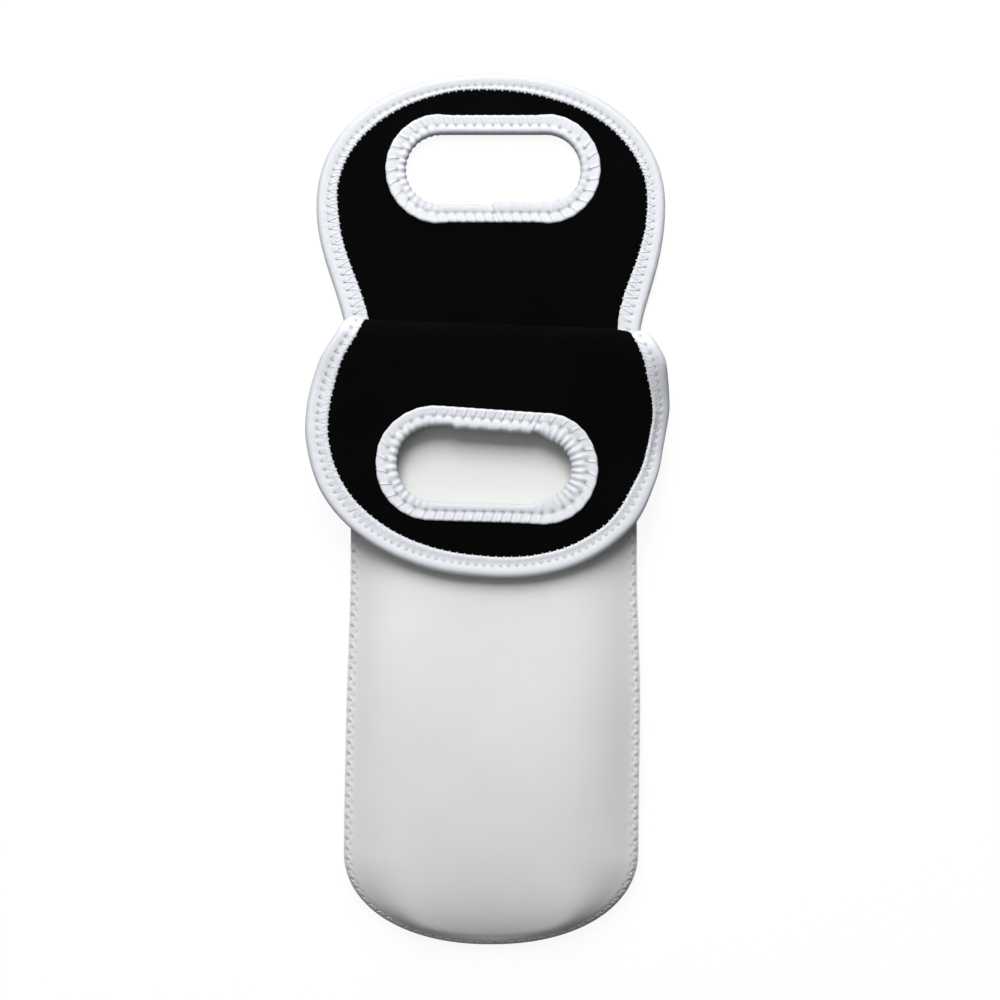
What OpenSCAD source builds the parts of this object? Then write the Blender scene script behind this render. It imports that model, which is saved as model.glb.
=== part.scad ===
// Neoprene carrier for one bottle, lying on its back and empty.
// Two laminated panels are sewn edge to edge into a pouch. Each panel runs on past the mouth into
// a handle head with a grip hole. The back head lies flat, the front head is folded down over the
// pouch. +Y runs from the pouch to the heads, +Z is up, and the carrier lies on z = 0.

/* [Neoprene sheet] */
// Thickness of the white knit face
face_t = 0.5; // [0.4:0.05:0.8]
// Thickness of the foam core
foam_t = 2; // [1.5:0.1:3]
// Thickness of the black lining
lining_t = 0.5; // [0.4:0.05:0.8]

/* [Pouch] */
// Length of the pouch, from the bottom edge to the mouth
pouch_l = 266.4; // [240:0.1:300]
// Width of the pouch at its widest, near the bottom
pouch_w = 130.4; // [124:0.1:146]
// Height of the rounded bottom
bottom_h = 42; // [34:0.5:52]
// Squareness of the rounded bottom, where 2 is an ellipse
bottom_square_share = 2.15; // [2:0.05:2.6]
// Gap between the two panels at the mouth
mouth_gap = 7; // [5:0.25:9]
// Gap between the two panels at the fullest part of the pouch
belly_gap = 16; // [12:0.5:18]
// Distance from the mouth down to the fullest part
belly_l = 180; // [140:1:200]
// Length of the slope from the bottom seam up to the full front
bottom_slope_l = 55; // [40:1:70]
// Length of the open slit above each side seam
slit_l = 18; // [14:0.5:24]
// Width of the flat allowance outside and under the side seam
seam_band_w = 5; // [4:0.25:7]

/* [Handle heads] */
// Length of each head, from the mouth line to its tip
head_l = 121.2; // [112:0.1:130]
// Width of each head over its binding
head_w = 155.6; // [146:0.1:166]
// Width of the neck over the binding
neck_w = 129.4; // [122:0.1:134]
// Distance from the mouth line to the widest place of the back head
back_wide_l = 61.7; // [54:0.1:68]
// Distance from the mouth line to the widest place of the front head
front_wide_l = 51; // [46:0.1:58]
// Distance from the narrowest place of the neck to the mouth line
neck_drop = 8; // [6:0.5:12]
// Squareness of the rounded head, where 2 is an ellipse
head_square_share = 2.15; // [2:0.05:2.4]

/* [Grip holes] */
// Length of the opening of each grip hole
grip_l = 78; // [70:0.5:86]
// Height of the opening of each grip hole
grip_h = 31.2; // [27:0.1:36]
// Distance from the tip of the back head to the middle of its grip
back_tip_l = 42.8; // [39:0.1:47]
// Distance from the tip of the front head to the middle of its grip
front_tip_l = 48.4; // [44:0.1:53]

/* [Edge tape] */
// Thickness of the binding tape
tape_t = 0.9; // [0.6:0.05:1.2]
// Width of the tape that shows round each head
edge_tape_w = 8.6; // [7:0.1:10]
// Width of the tape that shows round each grip hole
grip_tape_w = 7.8; // [6.5:0.1:9]

/* [Fold] */
// Radius of the middle of the sheet where a head folds over
fold_r = 6; // [5.5:0.1:7]
// Turn of the front fold line from square, in degrees
fold_skew = 2; // [0:0.25:3]
// Running gap between the pieces on each side of a fold line
fold_gap = 0.4; // [0.3:0.05:0.5]

/* [Stitching] */
// Width of a run of thread
thread_w = 0.7; // [0.5:0.05:0.9]
// Height of the thread above what it lies on
thread_t = 0.4; // [0.3:0.05:0.6]
// Distance from the pouch edge to the middle of the side seam
seam_inset = 2.5; // [2.2:0.1:2.8]
// Length of one zigzag of the side seam
seam_pitch = 4.7; // [4:0.1:6]
// Length of one zigzag of the stitching round a head
edge_pitch = 3.6; // [3.2:0.1:5]
// Length of one stitch round a grip hole
grip_pitch = 4.1; // [3.4:0.1:5]
// Width of the zigzag of the side seam
seam_zigzag_w = 1.8; // [1.2:0.1:2.2]
// Width of the zigzag on the tape
tape_zigzag_w = 3; // [2:0.1:3.6]

/* [Hidden] */

// Round faces
$fn = 64;
// How far a cut runs past what it cuts
overrun = pouch_w / 4;

// Heights of the sheet
sheet_t = face_t + foam_t + lining_t;
head_z = tape_t + sheet_t / 2;
mouth_z = head_z + sheet_t + mouth_gap;
seam_z = (head_z + mouth_z) / 2;
bound_t = sheet_t + 2 * tape_t;

// Places along the carrier, with the middle of its length at y = 0
mouth_y = (pouch_l - head_l) / 2;
bottom_y = mouth_y - pouch_l;
cap_y = bottom_y + bottom_h;
low_half = pouch_w / 2;

// Distance from the mouth line to the middle of each grip
back_grip_l = head_l - back_tip_l;
front_grip_l = head_l - front_tip_l;

// The fold: the middle of the sheet turns through half a circle
fold_l = PI * fold_r;
fold_z = mouth_z + fold_r;
pivot_l = fold_l / 4;
pivot_rise = fold_r - pivot_l;

// Outline of a head
// Half width at a distance from the mouth line, below the widest place
function head_half(along, wide_l) =
    let (
        neck_half = neck_w / 2 - tape_t,
        wide_half = head_w / 2 - tape_t,
        turn = 180 * (wide_l - along) / (wide_l + neck_drop)
    )
    neck_half + (wide_half - neck_half) * (1 + cos(turn)) / 2;

side_points = 9;
cap_points = 18;
// Right half of the head, from the mouth line up to the tip
function head_side(wide_l) = concat(
    [for (i = [0:side_points - 1])
        let (along = wide_l * i / side_points) [head_half(along, wide_l), along]],
    [for (i = [0:cap_points])
        let (turn = 90 * i / cap_points, power = 2 / head_square_share)
        [(head_w / 2 - tape_t) * pow(max(cos(turn), 0), power),
         wide_l + (head_l - tape_t - wide_l) * pow(sin(turn), power)]]
);
// Whole outline, from the right of the mouth line round the tip to the left of it
function head_points(wide_l) =
    let (half = head_side(wide_l), n = len(half))
    concat(half, [for (i = [n - 2:-1:0]) [-half[i][0], half[i][1]]]);

// Direction to the right of an open outline at a point, which is outward where it runs
// anticlockwise and inward where it runs clockwise
function outward(points, i) =
    let (
        before = points[max(i - 1, 0)],
        after = points[min(i + 1, len(points) - 1)],
        run = after - before
    )
    [run[1], -run[0]] / norm(run);
// An outline moved that way by a distance, its two ends kept on the mouth line
function moved(points, out) =
    [for (i = [0:len(points) - 1])
        let (at_end = i == 0 || i == len(points) - 1, way = outward(points, i))
        at_end ? points[i] + [out * sign(way[0]), 0] : points[i] + out * way];
// The same outline, run on below the mouth line so that it cuts through there
function run_on(points, extra) =
    let (first = points[0], last = points[len(points) - 1])
    concat([first - [0, extra]], points, [last - [0, extra]]);

// Lengths along an outline, and a point with its outward direction at a given length
function lengths(points) =
    [for (i = 0, sum = 0; i < len(points);
        sum = sum + (i + 1 < len(points) ? norm(points[i + 1] - points[i]) : 0), i = i + 1) sum];
function step_at(sums, want, i = 0) =
    i >= len(sums) - 2 || sums[i + 1] >= want ? i : step_at(sums, want, i + 1);
function place(points, sums, want) =
    let (
        i = step_at(sums, want),
        share = (want - sums[i]) / (sums[i + 1] - sums[i]),
        way = outward(points, i) * (1 - share) + outward(points, i + 1) * share
    )
    [points[i] * (1 - share) + points[i + 1] * share, way / norm(way)];

// Shape of the pouch
// Rows of the side go by the length of the slit, then on down to the rounded bottom
slit_shares = [0, 0.3, 0.6, 1];
side_rows = 5;
bottom_rows = 7;
side_half = head_half(0, back_wide_l);
function straight_half(y) =
    side_half + (low_half - side_half) * (mouth_y - y) / (mouth_y - cap_y);
pouch_side = concat(
    [for (share = slit_shares) [straight_half(mouth_y - slit_l * share), mouth_y - slit_l * share]],
    [for (i = [1:side_rows])
        let (y = mouth_y - slit_l + (cap_y - mouth_y + slit_l) * i / side_rows)
        [straight_half(y), y]],
    [for (i = [1:bottom_rows])
        let (turn = 90 * i / bottom_rows, power = 2 / bottom_square_share)
        [low_half * pow(max(cos(turn), 0), power), cap_y - bottom_h * pow(sin(turn), power)]]
);
pouch_n = len(pouch_side);
// Whole edge of the pouch, from the right of the mouth round the bottom to the left of it
pouch_edge = concat(
    pouch_side, [for (i = [pouch_n - 2:-1:0]) [-pouch_side[i][0], pouch_side[i][1]]]
);
stations = len(pouch_edge) - 1;
// Place on the middle line that each edge point is joined to
spine_n = len(slit_shares) + side_rows;
function spine(j) = min(j, stations - j, spine_n - 1);
// Shares of the way from the middle line to the seam band
ring_shares = [0, 0.3, 0.52, 0.68, 0.82, 0.92, 1];
rings = len(ring_shares);

function clamp(v) = min(max(v, 0), 1);
function ease(v) = let (c = clamp(v)) c * c * (3 - 2 * c);
// How far the slit is open at a place, 1 at the mouth and 0 below the slit
function slit_open(y) = ease(1 - (mouth_y - y) / slit_l);
// Width of the flat band, which has room for the tape beside the slit
function band_w(y) =
    seam_band_w + max(edge_tape_w - seam_band_w, 0) * clamp(2 - (mouth_y - y) / slit_l);
// Height of the edge above and below the seam plane
function edge_h(y) = mouth_gap / 2 * slit_open(y);

// Share of the way from the seam band inward at which each panel levels out
front_level_share = 0.45;
back_level_share = 0.25;
crown_share = 2.2;
function crown(share, level_share) =
    1 - pow(1 - clamp((1 - share) / level_share), crown_share);
// Height of the front lining above the seam plane
function front_h(y, share) =
    let (
        swell = sin(90 * clamp((mouth_y - y) / belly_l)),
        full = mouth_gap / 2 + (belly_gap - mouth_gap / 2 - seam_z + sheet_t) * swell,
        rise = 1 - pow(1 - clamp((y - bottom_y - seam_band_w) / bottom_slope_l), 2)
    )
    edge_h(y) + (full * rise - edge_h(y)) * crown(share, front_level_share);
// Depth of the back lining below the seam plane
function back_h(y, share) =
    let (
        down = ease((mouth_y - y) / (2 * slit_l)),
        full = mouth_gap / 2 + tape_t * down,
        drop = 1 - pow(1 - clamp((y - bottom_y - seam_band_w) / (bottom_slope_l / 2)), 2)
    )
    edge_h(y) + (full * drop - edge_h(y)) * crown(share, back_level_share);

// Places on the pouch: ring 0 is the middle line, ring rings is the raw edge
function flat_place(j, k) =
    let (
        edge = pouch_edge[j],
        middle = [0, pouch_edge[spine(j)][1]],
        in = moved(pouch_edge, band_w(edge[1]))[j] - edge,
        band = edge + in
    )
    k >= rings ? edge : middle + (band - middle) * ring_shares[k];
function spot_list() = concat(
    [for (j = [0:spine_n - 1]) [0, pouch_edge[j][1], 0]],
    [for (j = [0:stations]) for (k = [1:rings])
        let (p = flat_place(j, k)) [p[0], p[1], k >= rings ? 1 : ring_shares[k]]]
);
spots = spot_list();
function spot(j, k) = k == 0 ? spine(j) : spine_n + j * rings + k - 1;

// The front fold line is out of square, and the front panel's last rows lean with it
lean_l = 2 * slit_l;
function leaned(p, skew) =
    p[1] - p[0] * tan(skew) * clamp(1 - (mouth_y - p[1]) / lean_l);

// One layer of a pouch panel between two heights over the lining's inner face
module panel_layer(front, low, high) {
    n = len(spots);
    levels = [for (s = spots)
        front ? seam_z + front_h(s[1], s[2]) : seam_z - back_h(s[1], s[2])];
    skew = front ? fold_skew : 0;
    upper = [for (i = [0:n - 1]) [spots[i][0], leaned(spots[i], skew), levels[i] + high]];
    lower = [for (i = [0:n - 1]) [spots[i][0], leaned(spots[i], skew), levels[i] + low]];
    sheet = [for (j = [0:stations - 1]) for (k = [0:rings - 1])
        let (a = spot(j, k), b = spot(j, k + 1), c = spot(j + 1, k + 1), d = spot(j + 1, k))
        each (a == d ? [[a, b, c]] : [[a, b, c], [a, c, d]])];
    top = sheet;
    under = [for (f = sheet) [f[2] + n, f[1] + n, f[0] + n]];
    rim = [for (j = [0:stations - 1])
        let (a = spot(j, rings), b = spot(j + 1, rings))
        each [[b, a, a + n], [b, a + n, b + n]]];
    mouth = [for (k = [0:rings - 1])
        let (
            a = spot(0, k), b = spot(0, k + 1),
            c = spot(stations, k), d = spot(stations, k + 1)
        )
        each [[b, a, a + n], [b, a + n, b + n], [c, d, d + n], [c, d + n, c + n]]];
    polyhedron(concat(upper, lower), concat(top, under, rim, mouth));
}

// Tape round the raw edges of the slit, where the two panels are apart
// The tape starts where the gap has room for two thicknesses of it
tape_rows = [0, 1, 2];
module tape_end(front, side) {
    skew = front ? fold_skew : 0;
    sections = [for (r = tape_rows)
        let (
            edge = pouch_edge[r],
            low = front ? seam_z + edge_h(edge[1]) : seam_z - edge_h(edge[1]) - sheet_t,
            high = low + sheet_t,
            far = edge[0] + tape_t,
            near = edge[0] + tape_t - edge_tape_w,
            corners = [
                [near, high + tape_t], [far, high + tape_t], [far, low - tape_t],
                [near, low - tape_t], [near, low], [edge[0], low], [edge[0], high], [near, high]
            ]
        )
        [for (c = corners) [side * c[0], leaned([side * c[0], edge[1]], skew), c[1]]]];
    n = len(sections[0]);
    last = (len(sections) - 1) * n;
    sides = [for (r = [0:len(sections) - 2]) for (i = [0:n - 1])
        let (a = r * n + i, b = r * n + (i + 1) % n, c = b + n, d = a + n)
        each [[a, b, c], [a, c, d]]];
    caps = [[0, 1, 6], [0, 6, 7], [1, 2, 5], [1, 5, 6], [2, 3, 4], [2, 4, 5]];
    first_cap = [for (f = caps) [f[2], f[1], f[0]]];
    last_cap = [for (f = caps) [f[0] + last, f[1] + last, f[2] + last]];
    faces = concat(sides, first_cap, last_cap);
    turned = side > 0 ? faces : [for (f = faces) [f[2], f[1], f[0]]];
    polyhedron([for (s = sections) each s], turned);
}

// Stitching
// A zigzag run of thread along an outline, as a flat shape
module zigzag(points, inset, pitch, wide, from, to) {
    sums = lengths(points);
    total = sums[len(sums) - 1];
    count = 2 * floor((total - from - to) / pitch);
    run = [for (i = [0:count])
        let (
            at = place(points, sums, from + (total - from - to) * i / count),
            way = i % 2 == 0 ? 1 : -1
        )
        [at[0] - inset * at[1] + way * (wide - thread_w) / 2 * at[1], at[1]]];
    outer = [for (p = run) p[0] + thread_w / 2 * p[1]];
    inner = [for (i = [count:-1:0]) run[i][0] - thread_w / 2 * run[i][1]];
    polygon(concat(outer, inner));
}

// A closed ring of zigzag thread round a grip hole
module zigzag_ring(out, pitch, wide) {
    r = grip_h / 2 + out;
    straight = grip_l - grip_h;
    total = 2 * straight + 2 * PI * r;
    count = 2 * floor(total / pitch);
    points = [for (i = [0:count - 1])
        let (
            run = total * i / count,
            arc = PI * r,
            part = run < straight ? 0 : run < straight + arc ? 1 : run < 2 * straight + arc ? 2 : 3,
            turn = part == 1 ? 180 * (run - straight) / arc - 90
                : part == 3 ? 180 * (run - 2 * straight - arc) / arc + 90
                : part == 0 ? -90 : 90,
            x = part == 0 ? run - straight / 2 : part == 1 ? straight / 2
                : part == 2 ? straight / 2 - (run - straight - arc) : -straight / 2,
            way = [cos(turn), sin(turn)],
            wave = i % 2 == 0 ? 1 : -1
        )
        [[x, 0] + (r + wave * (wide - thread_w) / 2) * way, way]];
    difference() {
        polygon([for (p = points) p[0] + thread_w / 2 * p[1]]);
        polygon([for (p = points) p[0] - thread_w / 2 * p[1]]);
    }
}

// Parts of a head, drawn open and flat: y from the mouth line, z from the middle of the sheet
module stadium(out) {
    r = grip_h / 2 + out;
    straight = grip_l - grip_h;
    for (side = [-1, 1]) translate([side * straight / 2, 0]) circle(r = r);
    square([straight, 2 * r], center = true);
}

// A block that keeps what lies between two distances from the mouth line
module between(low, high) {
    translate([-head_w, low, -head_w / 2]) cube([2 * head_w, high - low, head_w]);
}

module head_layer(wide_l, grip_at, low, high) {
    translate([0, 0, low]) linear_extrude(high - low) difference() {
        polygon(run_on(head_points(wide_l), fold_l));
        translate([0, grip_at]) stadium(tape_t);
    }
}

module edge_tape(wide_l) {
    points = head_points(wide_l);
    difference() {
        translate([0, 0, -bound_t / 2]) linear_extrude(bound_t)
            polygon(run_on(moved(points, tape_t), fold_l));
        translate([0, 0, -sheet_t / 2]) linear_extrude(sheet_t)
            polygon(run_on(points, fold_l + overrun));
        translate([0, 0, -bound_t]) linear_extrude(2 * bound_t)
            polygon(run_on(moved(points, tape_t - edge_tape_w), fold_l + overrun));
    }
}

module grip_tape(grip_at) {
    translate([0, grip_at, 0]) difference() {
        translate([0, 0, -bound_t / 2]) linear_extrude(bound_t) stadium(grip_tape_w);
        translate([0, 0, -sheet_t / 2]) linear_extrude(sheet_t) difference() {
            stadium(grip_tape_w + overrun);
            stadium(tape_t);
        }
        translate([0, 0, -bound_t]) linear_extrude(2 * bound_t) stadium(0);
    }
}

module edge_thread(wide_l, up) {
    points = [for (p = head_points(wide_l)) if (p[1] >= fold_l) p];
    base = up ? bound_t / 2 : -bound_t / 2 - thread_t;
    inset = edge_tape_w - tape_t - tape_zigzag_w / 2;
    translate([0, 0, base]) linear_extrude(thread_t)
        zigzag(points, inset, edge_pitch, tape_zigzag_w, edge_pitch, edge_pitch);
}

module grip_thread(grip_at, up) {
    base = up ? bound_t / 2 : -bound_t / 2 - thread_t;
    translate([0, grip_at, base]) linear_extrude(thread_t)
        zigzag_ring(grip_tape_w - tape_zigzag_w / 2, grip_pitch, tape_zigzag_w);
}

// Places of the heads
module back_rest() {
    translate([0, mouth_y, head_z]) children();
}

// The front head, folded over about the leaning fold line from its open, flat place
module front_rest() {
    translate([0, mouth_y, 0]) rotate([0, 0, -fold_skew])
        translate([0, fold_l / 2, fold_z]) rotate([180, 0, 0])
        translate([0, -fold_l / 2, -fold_z]) intersection() {
            rotate([0, 0, fold_skew]) translate([0, 0, mouth_z]) children();
            translate([0, 0, mouth_z]) between(fold_l, head_l + overrun);
        }
}

module back_strip() {
    back_rest() intersection() {
        children();
        between(fold_gap, fold_l - fold_gap);
    }
}

module back_head() {
    back_rest() intersection() {
        children();
        between(fold_l, head_l + overrun);
    }
}

// The front fold, a half turn of the sheet about a line across the mouth
// Angle cut from each end so that the outer corner clears its neighbour as the fold opens
function fold_trim(outer_r) =
    asin(clamp((pow(outer_r, 2) + 2 * pow(pivot_l, 2) - pow(pivot_l - fold_gap, 2))
        / (2 * sqrt(2) * outer_r * pivot_l))) - 45;

module fold_sector(inner_r, outer_r, trim) {
    reach = 2 * outer_r;
    open = 90 - trim;
    rotate([90, 0, 90]) linear_extrude(2 * head_w, center = true) intersection() {
        difference() {
            circle(r = outer_r);
            circle(r = inner_r);
        }
        polygon([
            [0, 0], reach * [cos(open), -sin(open)], [reach, -reach],
            [reach, reach], reach * [cos(open), sin(open)]
        ]);
    }
}

// What lies inside the two slanting side edges of the fold, moved outward by a distance
module fold_width(out) {
    shift = -fold_l * tan(fold_skew);
    half = [head_half(0, front_wide_l), head_half(fold_l, front_wide_l)];
    function edge(side, up) =
        let (share = (up + fold_r) / (2 * fold_r))
        side * (half[0] + (half[1] - half[0]) * share + out) + shift * share;
    rotate([90, 0, 0]) linear_extrude(2 * head_w, center = true) polygon([
        [edge(1, -2 * fold_r), -2 * fold_r], [edge(1, 2 * fold_r), 2 * fold_r],
        [edge(-1, 2 * fold_r), 2 * fold_r], [edge(-1, -2 * fold_r), -2 * fold_r]
    ]);
}

module fold_rest() {
    translate([0, mouth_y, fold_z]) rotate([0, 0, -fold_skew]) children();
}

module fold_layer(low, high) {
    fold_rest() intersection() {
        fold_sector(fold_r + low, fold_r + high, fold_trim(fold_r + sheet_t / 2));
        fold_width(0);
    }
}

module fold_tape() {
    fold_rest() difference() {
        intersection() {
            fold_sector(fold_r - bound_t / 2, fold_r + bound_t / 2,
                fold_trim(fold_r + bound_t / 2));
            fold_width(tape_t);
        }
        intersection() {
            fold_sector(fold_r - sheet_t / 2, fold_r + sheet_t / 2, 0);
            fold_width(0);
        }
        fold_width(tape_t - edge_tape_w);
    }
}

// Heights of the three layers from the middle of the sheet
face_low = foam_t / 2;
face_high = face_low + face_t;
lining_low = -foam_t / 2 - lining_t;
lining_high = -foam_t / 2;

// Pouch, front panel
module front_knit_face() {
    color("whitesmoke") panel_layer(true, lining_t + foam_t, sheet_t);
}
module front_foam() {
    color("dimgray") panel_layer(true, lining_t, lining_t + foam_t);
}
module front_lining() {
    color("black") panel_layer(true, 0, lining_t);
}

// Pouch, back panel
module back_knit_face() {
    color("whitesmoke") panel_layer(false, -sheet_t, -lining_t - foam_t);
}
module back_foam() {
    color("dimgray") panel_layer(false, -lining_t - foam_t, -lining_t);
}
module back_lining() {
    color("black") panel_layer(false, -lining_t, 0);
}

// Pouch, seam and ends of the edge tape
module side_seam_thread() {
    turned = [for (i = [stations:-1:0]) pouch_edge[i]];
    from = slit_l + seam_inset;
    color("gainsboro") for (base = [seam_z + sheet_t, seam_z - sheet_t - thread_t])
        translate([0, 0, base]) linear_extrude(thread_t)
            zigzag(turned, seam_inset, seam_pitch, seam_zigzag_w, from, from);
}
module front_binding_ends() {
    color("white") for (side = [-1, 1]) tape_end(true, side);
}
module back_binding_ends() {
    color("white") for (side = [-1, 1]) tape_end(false, side);
}

// Front fold
module front_fold_knit_face() {
    color("whitesmoke") fold_layer(-face_high, -face_low);
}
module front_fold_foam() {
    color("dimgray") fold_layer(lining_high, face_low);
}
module front_fold_lining() {
    color("black") fold_layer(-lining_high, -lining_low);
}
module front_fold_binding() {
    color("white") fold_tape();
}

// Front head
module front_handle_knit_face() {
    color("whitesmoke") front_rest() head_layer(front_wide_l, front_grip_l, face_low, face_high);
}
module front_handle_foam() {
    color("dimgray") front_rest() head_layer(front_wide_l, front_grip_l, lining_high, face_low);
}
module front_handle_lining() {
    color("black") front_rest() head_layer(front_wide_l, front_grip_l, lining_low, lining_high);
}
module front_handle_binding() {
    color("white") front_rest() edge_tape(front_wide_l);
}
module front_grip_binding() {
    color("white") front_rest() grip_tape(front_grip_l);
}
module front_handle_thread() {
    color("gainsboro") front_rest() edge_thread(front_wide_l, false);
}
module front_grip_thread() {
    color("gainsboro") front_rest() grip_thread(front_grip_l, false);
}

// Back fold
module back_fold_knit_face() {
    color("whitesmoke") back_strip() head_layer(back_wide_l, back_grip_l, -face_high, -face_low);
}
module back_fold_foam() {
    color("dimgray") back_strip() head_layer(back_wide_l, back_grip_l, lining_high, face_low);
}
module back_fold_lining() {
    color("black") back_strip() head_layer(back_wide_l, back_grip_l, -lining_high, -lining_low);
}
module back_fold_binding() {
    color("white") back_strip() edge_tape(back_wide_l);
}

// Back head
module back_handle_knit_face() {
    color("whitesmoke") back_head() head_layer(back_wide_l, back_grip_l, -face_high, -face_low);
}
module back_handle_foam() {
    color("dimgray") back_head() head_layer(back_wide_l, back_grip_l, lining_high, face_low);
}
module back_handle_lining() {
    color("black") back_head() head_layer(back_wide_l, back_grip_l, -lining_high, -lining_low);
}
module back_handle_binding() {
    color("white") back_head() edge_tape(back_wide_l);
}
module back_grip_binding() {
    color("white") back_head() grip_tape(back_grip_l);
}
module back_handle_thread() {
    color("gainsboro") back_head() edge_thread(back_wide_l, true);
}
module back_grip_thread() {
    color("gainsboro") back_head() grip_thread(back_grip_l, true);
}

front_knit_face();
front_foam();
front_lining();
back_knit_face();
back_foam();
back_lining();
side_seam_thread();
front_binding_ends();
back_binding_ends();
front_fold_knit_face();
front_fold_foam();
front_fold_lining();
front_fold_binding();
front_handle_knit_face();
front_handle_foam();
front_handle_lining();
front_handle_binding();
front_grip_binding();
front_handle_thread();
front_grip_thread();
back_fold_knit_face();
back_fold_foam();
back_fold_lining();
back_fold_binding();
back_handle_knit_face();
back_handle_foam();
back_handle_lining();
back_handle_binding();
back_grip_binding();
back_handle_thread();
back_grip_thread();
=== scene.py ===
# %% [markdown]
# # A neoprene carrier for one bottle
# The carrier is two panels of laminated neoprene, sewn edge to edge into a pouch. Each panel runs
# on past the mouth into a head with a grip hole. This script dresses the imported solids: it cuts
# every layer, tape and thread flat, as on a cutting table, and then bends it into place.

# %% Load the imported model
import math

import bmesh
import bpy
import numpy as np
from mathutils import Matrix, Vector


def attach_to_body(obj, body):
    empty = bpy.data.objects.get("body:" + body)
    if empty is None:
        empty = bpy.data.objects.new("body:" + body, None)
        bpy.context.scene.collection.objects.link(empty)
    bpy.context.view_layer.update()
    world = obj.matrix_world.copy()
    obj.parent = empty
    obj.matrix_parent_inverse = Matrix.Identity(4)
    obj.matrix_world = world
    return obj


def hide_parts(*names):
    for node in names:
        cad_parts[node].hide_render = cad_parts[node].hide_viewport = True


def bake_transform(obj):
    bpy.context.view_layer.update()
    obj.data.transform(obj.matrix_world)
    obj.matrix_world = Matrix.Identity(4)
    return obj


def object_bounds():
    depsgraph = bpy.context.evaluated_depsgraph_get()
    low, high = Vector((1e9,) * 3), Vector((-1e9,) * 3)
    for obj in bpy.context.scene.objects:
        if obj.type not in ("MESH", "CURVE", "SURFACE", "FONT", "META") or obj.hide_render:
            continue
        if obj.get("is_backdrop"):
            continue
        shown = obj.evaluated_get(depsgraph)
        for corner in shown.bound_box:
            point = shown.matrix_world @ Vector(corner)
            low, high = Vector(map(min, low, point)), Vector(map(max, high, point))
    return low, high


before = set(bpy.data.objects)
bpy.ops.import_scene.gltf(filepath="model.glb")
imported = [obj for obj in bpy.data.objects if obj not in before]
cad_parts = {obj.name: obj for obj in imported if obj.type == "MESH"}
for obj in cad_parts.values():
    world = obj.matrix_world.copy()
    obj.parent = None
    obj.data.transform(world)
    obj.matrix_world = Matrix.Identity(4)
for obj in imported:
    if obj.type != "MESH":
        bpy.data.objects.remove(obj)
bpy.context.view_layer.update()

# %% [markdown]
# ## Sizes
# The pattern is drawn in millimetres, and one function turns a place on the flat panel into a place
# in the room, in metres. The sizes repeat those of the solids.

# %% Sizes of the sheet, the pouch and the heads
MM = 0.001
FACE_T, FOAM_T, LINING_T = 0.5, 2.0, 0.5
SHEET_T = FACE_T + FOAM_T + LINING_T
POUCH_L, POUCH_W, BOTTOM_H = 266.4, 130.4, 42.0
MOUTH_GAP, BELLY_GAP, BELLY_L, BOTTOM_SLOPE_L = 7.0, 16.0, 180.0, 55.0
SLIT_L, SEAM_BAND_W = 18.0, 2.9
HEAD_L, HEAD_W, NECK_W, NECK_DROP = 121.2, 155.6, 129.4, 8.0
BACK_WIDE_L, FRONT_WIDE_L = 61.7, 51.0
SQUARE_SHARE = 2.15
GRIP_L, GRIP_H = 78.0, 31.2
BACK_GRIP_L, FRONT_GRIP_L = 78.4, 72.8
TAPE_T, EDGE_TAPE_W, GRIP_TAPE_W = 0.9, 8.6, 7.8
FOLD_R, FOLD_SKEW = 6.0, math.radians(2)
FOLD_L = math.pi * FOLD_R

# %% Heights and places that follow from them
HEAD_Z = TAPE_T + SHEET_T / 2
MOUTH_Z = HEAD_Z + SHEET_T + MOUTH_GAP
SEAM_Z = (HEAD_Z + MOUTH_Z) / 2
FOLD_Z = MOUTH_Z + FOLD_R
MOUTH_Y = (POUCH_L - HEAD_L) / 2
CAP_V = BOTTOM_H - POUCH_L
LOW_HALF = POUCH_W / 2
WIDE_HALF = HEAD_W / 2 - TAPE_T
NECK_HALF = NECK_W / 2 - TAPE_T
LEAN_L = 2 * SLIT_L
SPLIT = FOLD_L / 2
print("mouth line at y =", round(MOUTH_Y, 1), "mm, fold", round(FOLD_L, 2), "mm long")

# %% [markdown]
# ## The flat pattern
# A place on a panel is x across and v along, with v = 0 on the mouth line and positive towards the
# head. The outline is a superellipse at the bottom, a straight side, a neck and a rounded head.

# %% Outline of a panel
def clamp(t):
    return min(max(t, 0.0), 1.0)


def ease(t):
    t = clamp(t)
    return t * t * (3 - 2 * t)


def head_half(v, wide_l):
    turn = math.pi * (wide_l - v) / (wide_l + NECK_DROP)
    return NECK_HALF + (WIDE_HALF - NECK_HALF) * (1 + math.cos(turn)) / 2


def side_half(v, wide_l):
    top = head_half(0, wide_l)
    return top + (LOW_HALF - top) * v / CAP_V


def half_outline(wide_l):
    """Right half of the outline, from the bottom tip up to the tip of the head."""
    power = 2 / SQUARE_SHARE
    turns = [math.radians(a) for a in range(91)]
    bottom = [(LOW_HALF * math.sin(a) ** power, CAP_V - BOTTOM_H * max(math.cos(a), 0) ** power)
              for a in turns]
    side = [(side_half(v, wide_l), v) for v in np.arange(CAP_V + 4, -0.5, 4.0)]
    neck = [(head_half(v, wide_l), v) for v in np.arange(0, wide_l, 1.5)]
    tip = HEAD_L - TAPE_T - wide_l
    cap = [(WIDE_HALF * max(math.cos(a), 0) ** power, wide_l + tip * math.sin(a) ** power)
           for a in turns]
    return bottom + side + neck + cap


# %% Walk along an outline in even steps
def fold_up(x, v, skew):
    """Distance past the fold's first line, which leans by the skew."""
    return x * math.sin(skew) + v * math.cos(skew)


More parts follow.
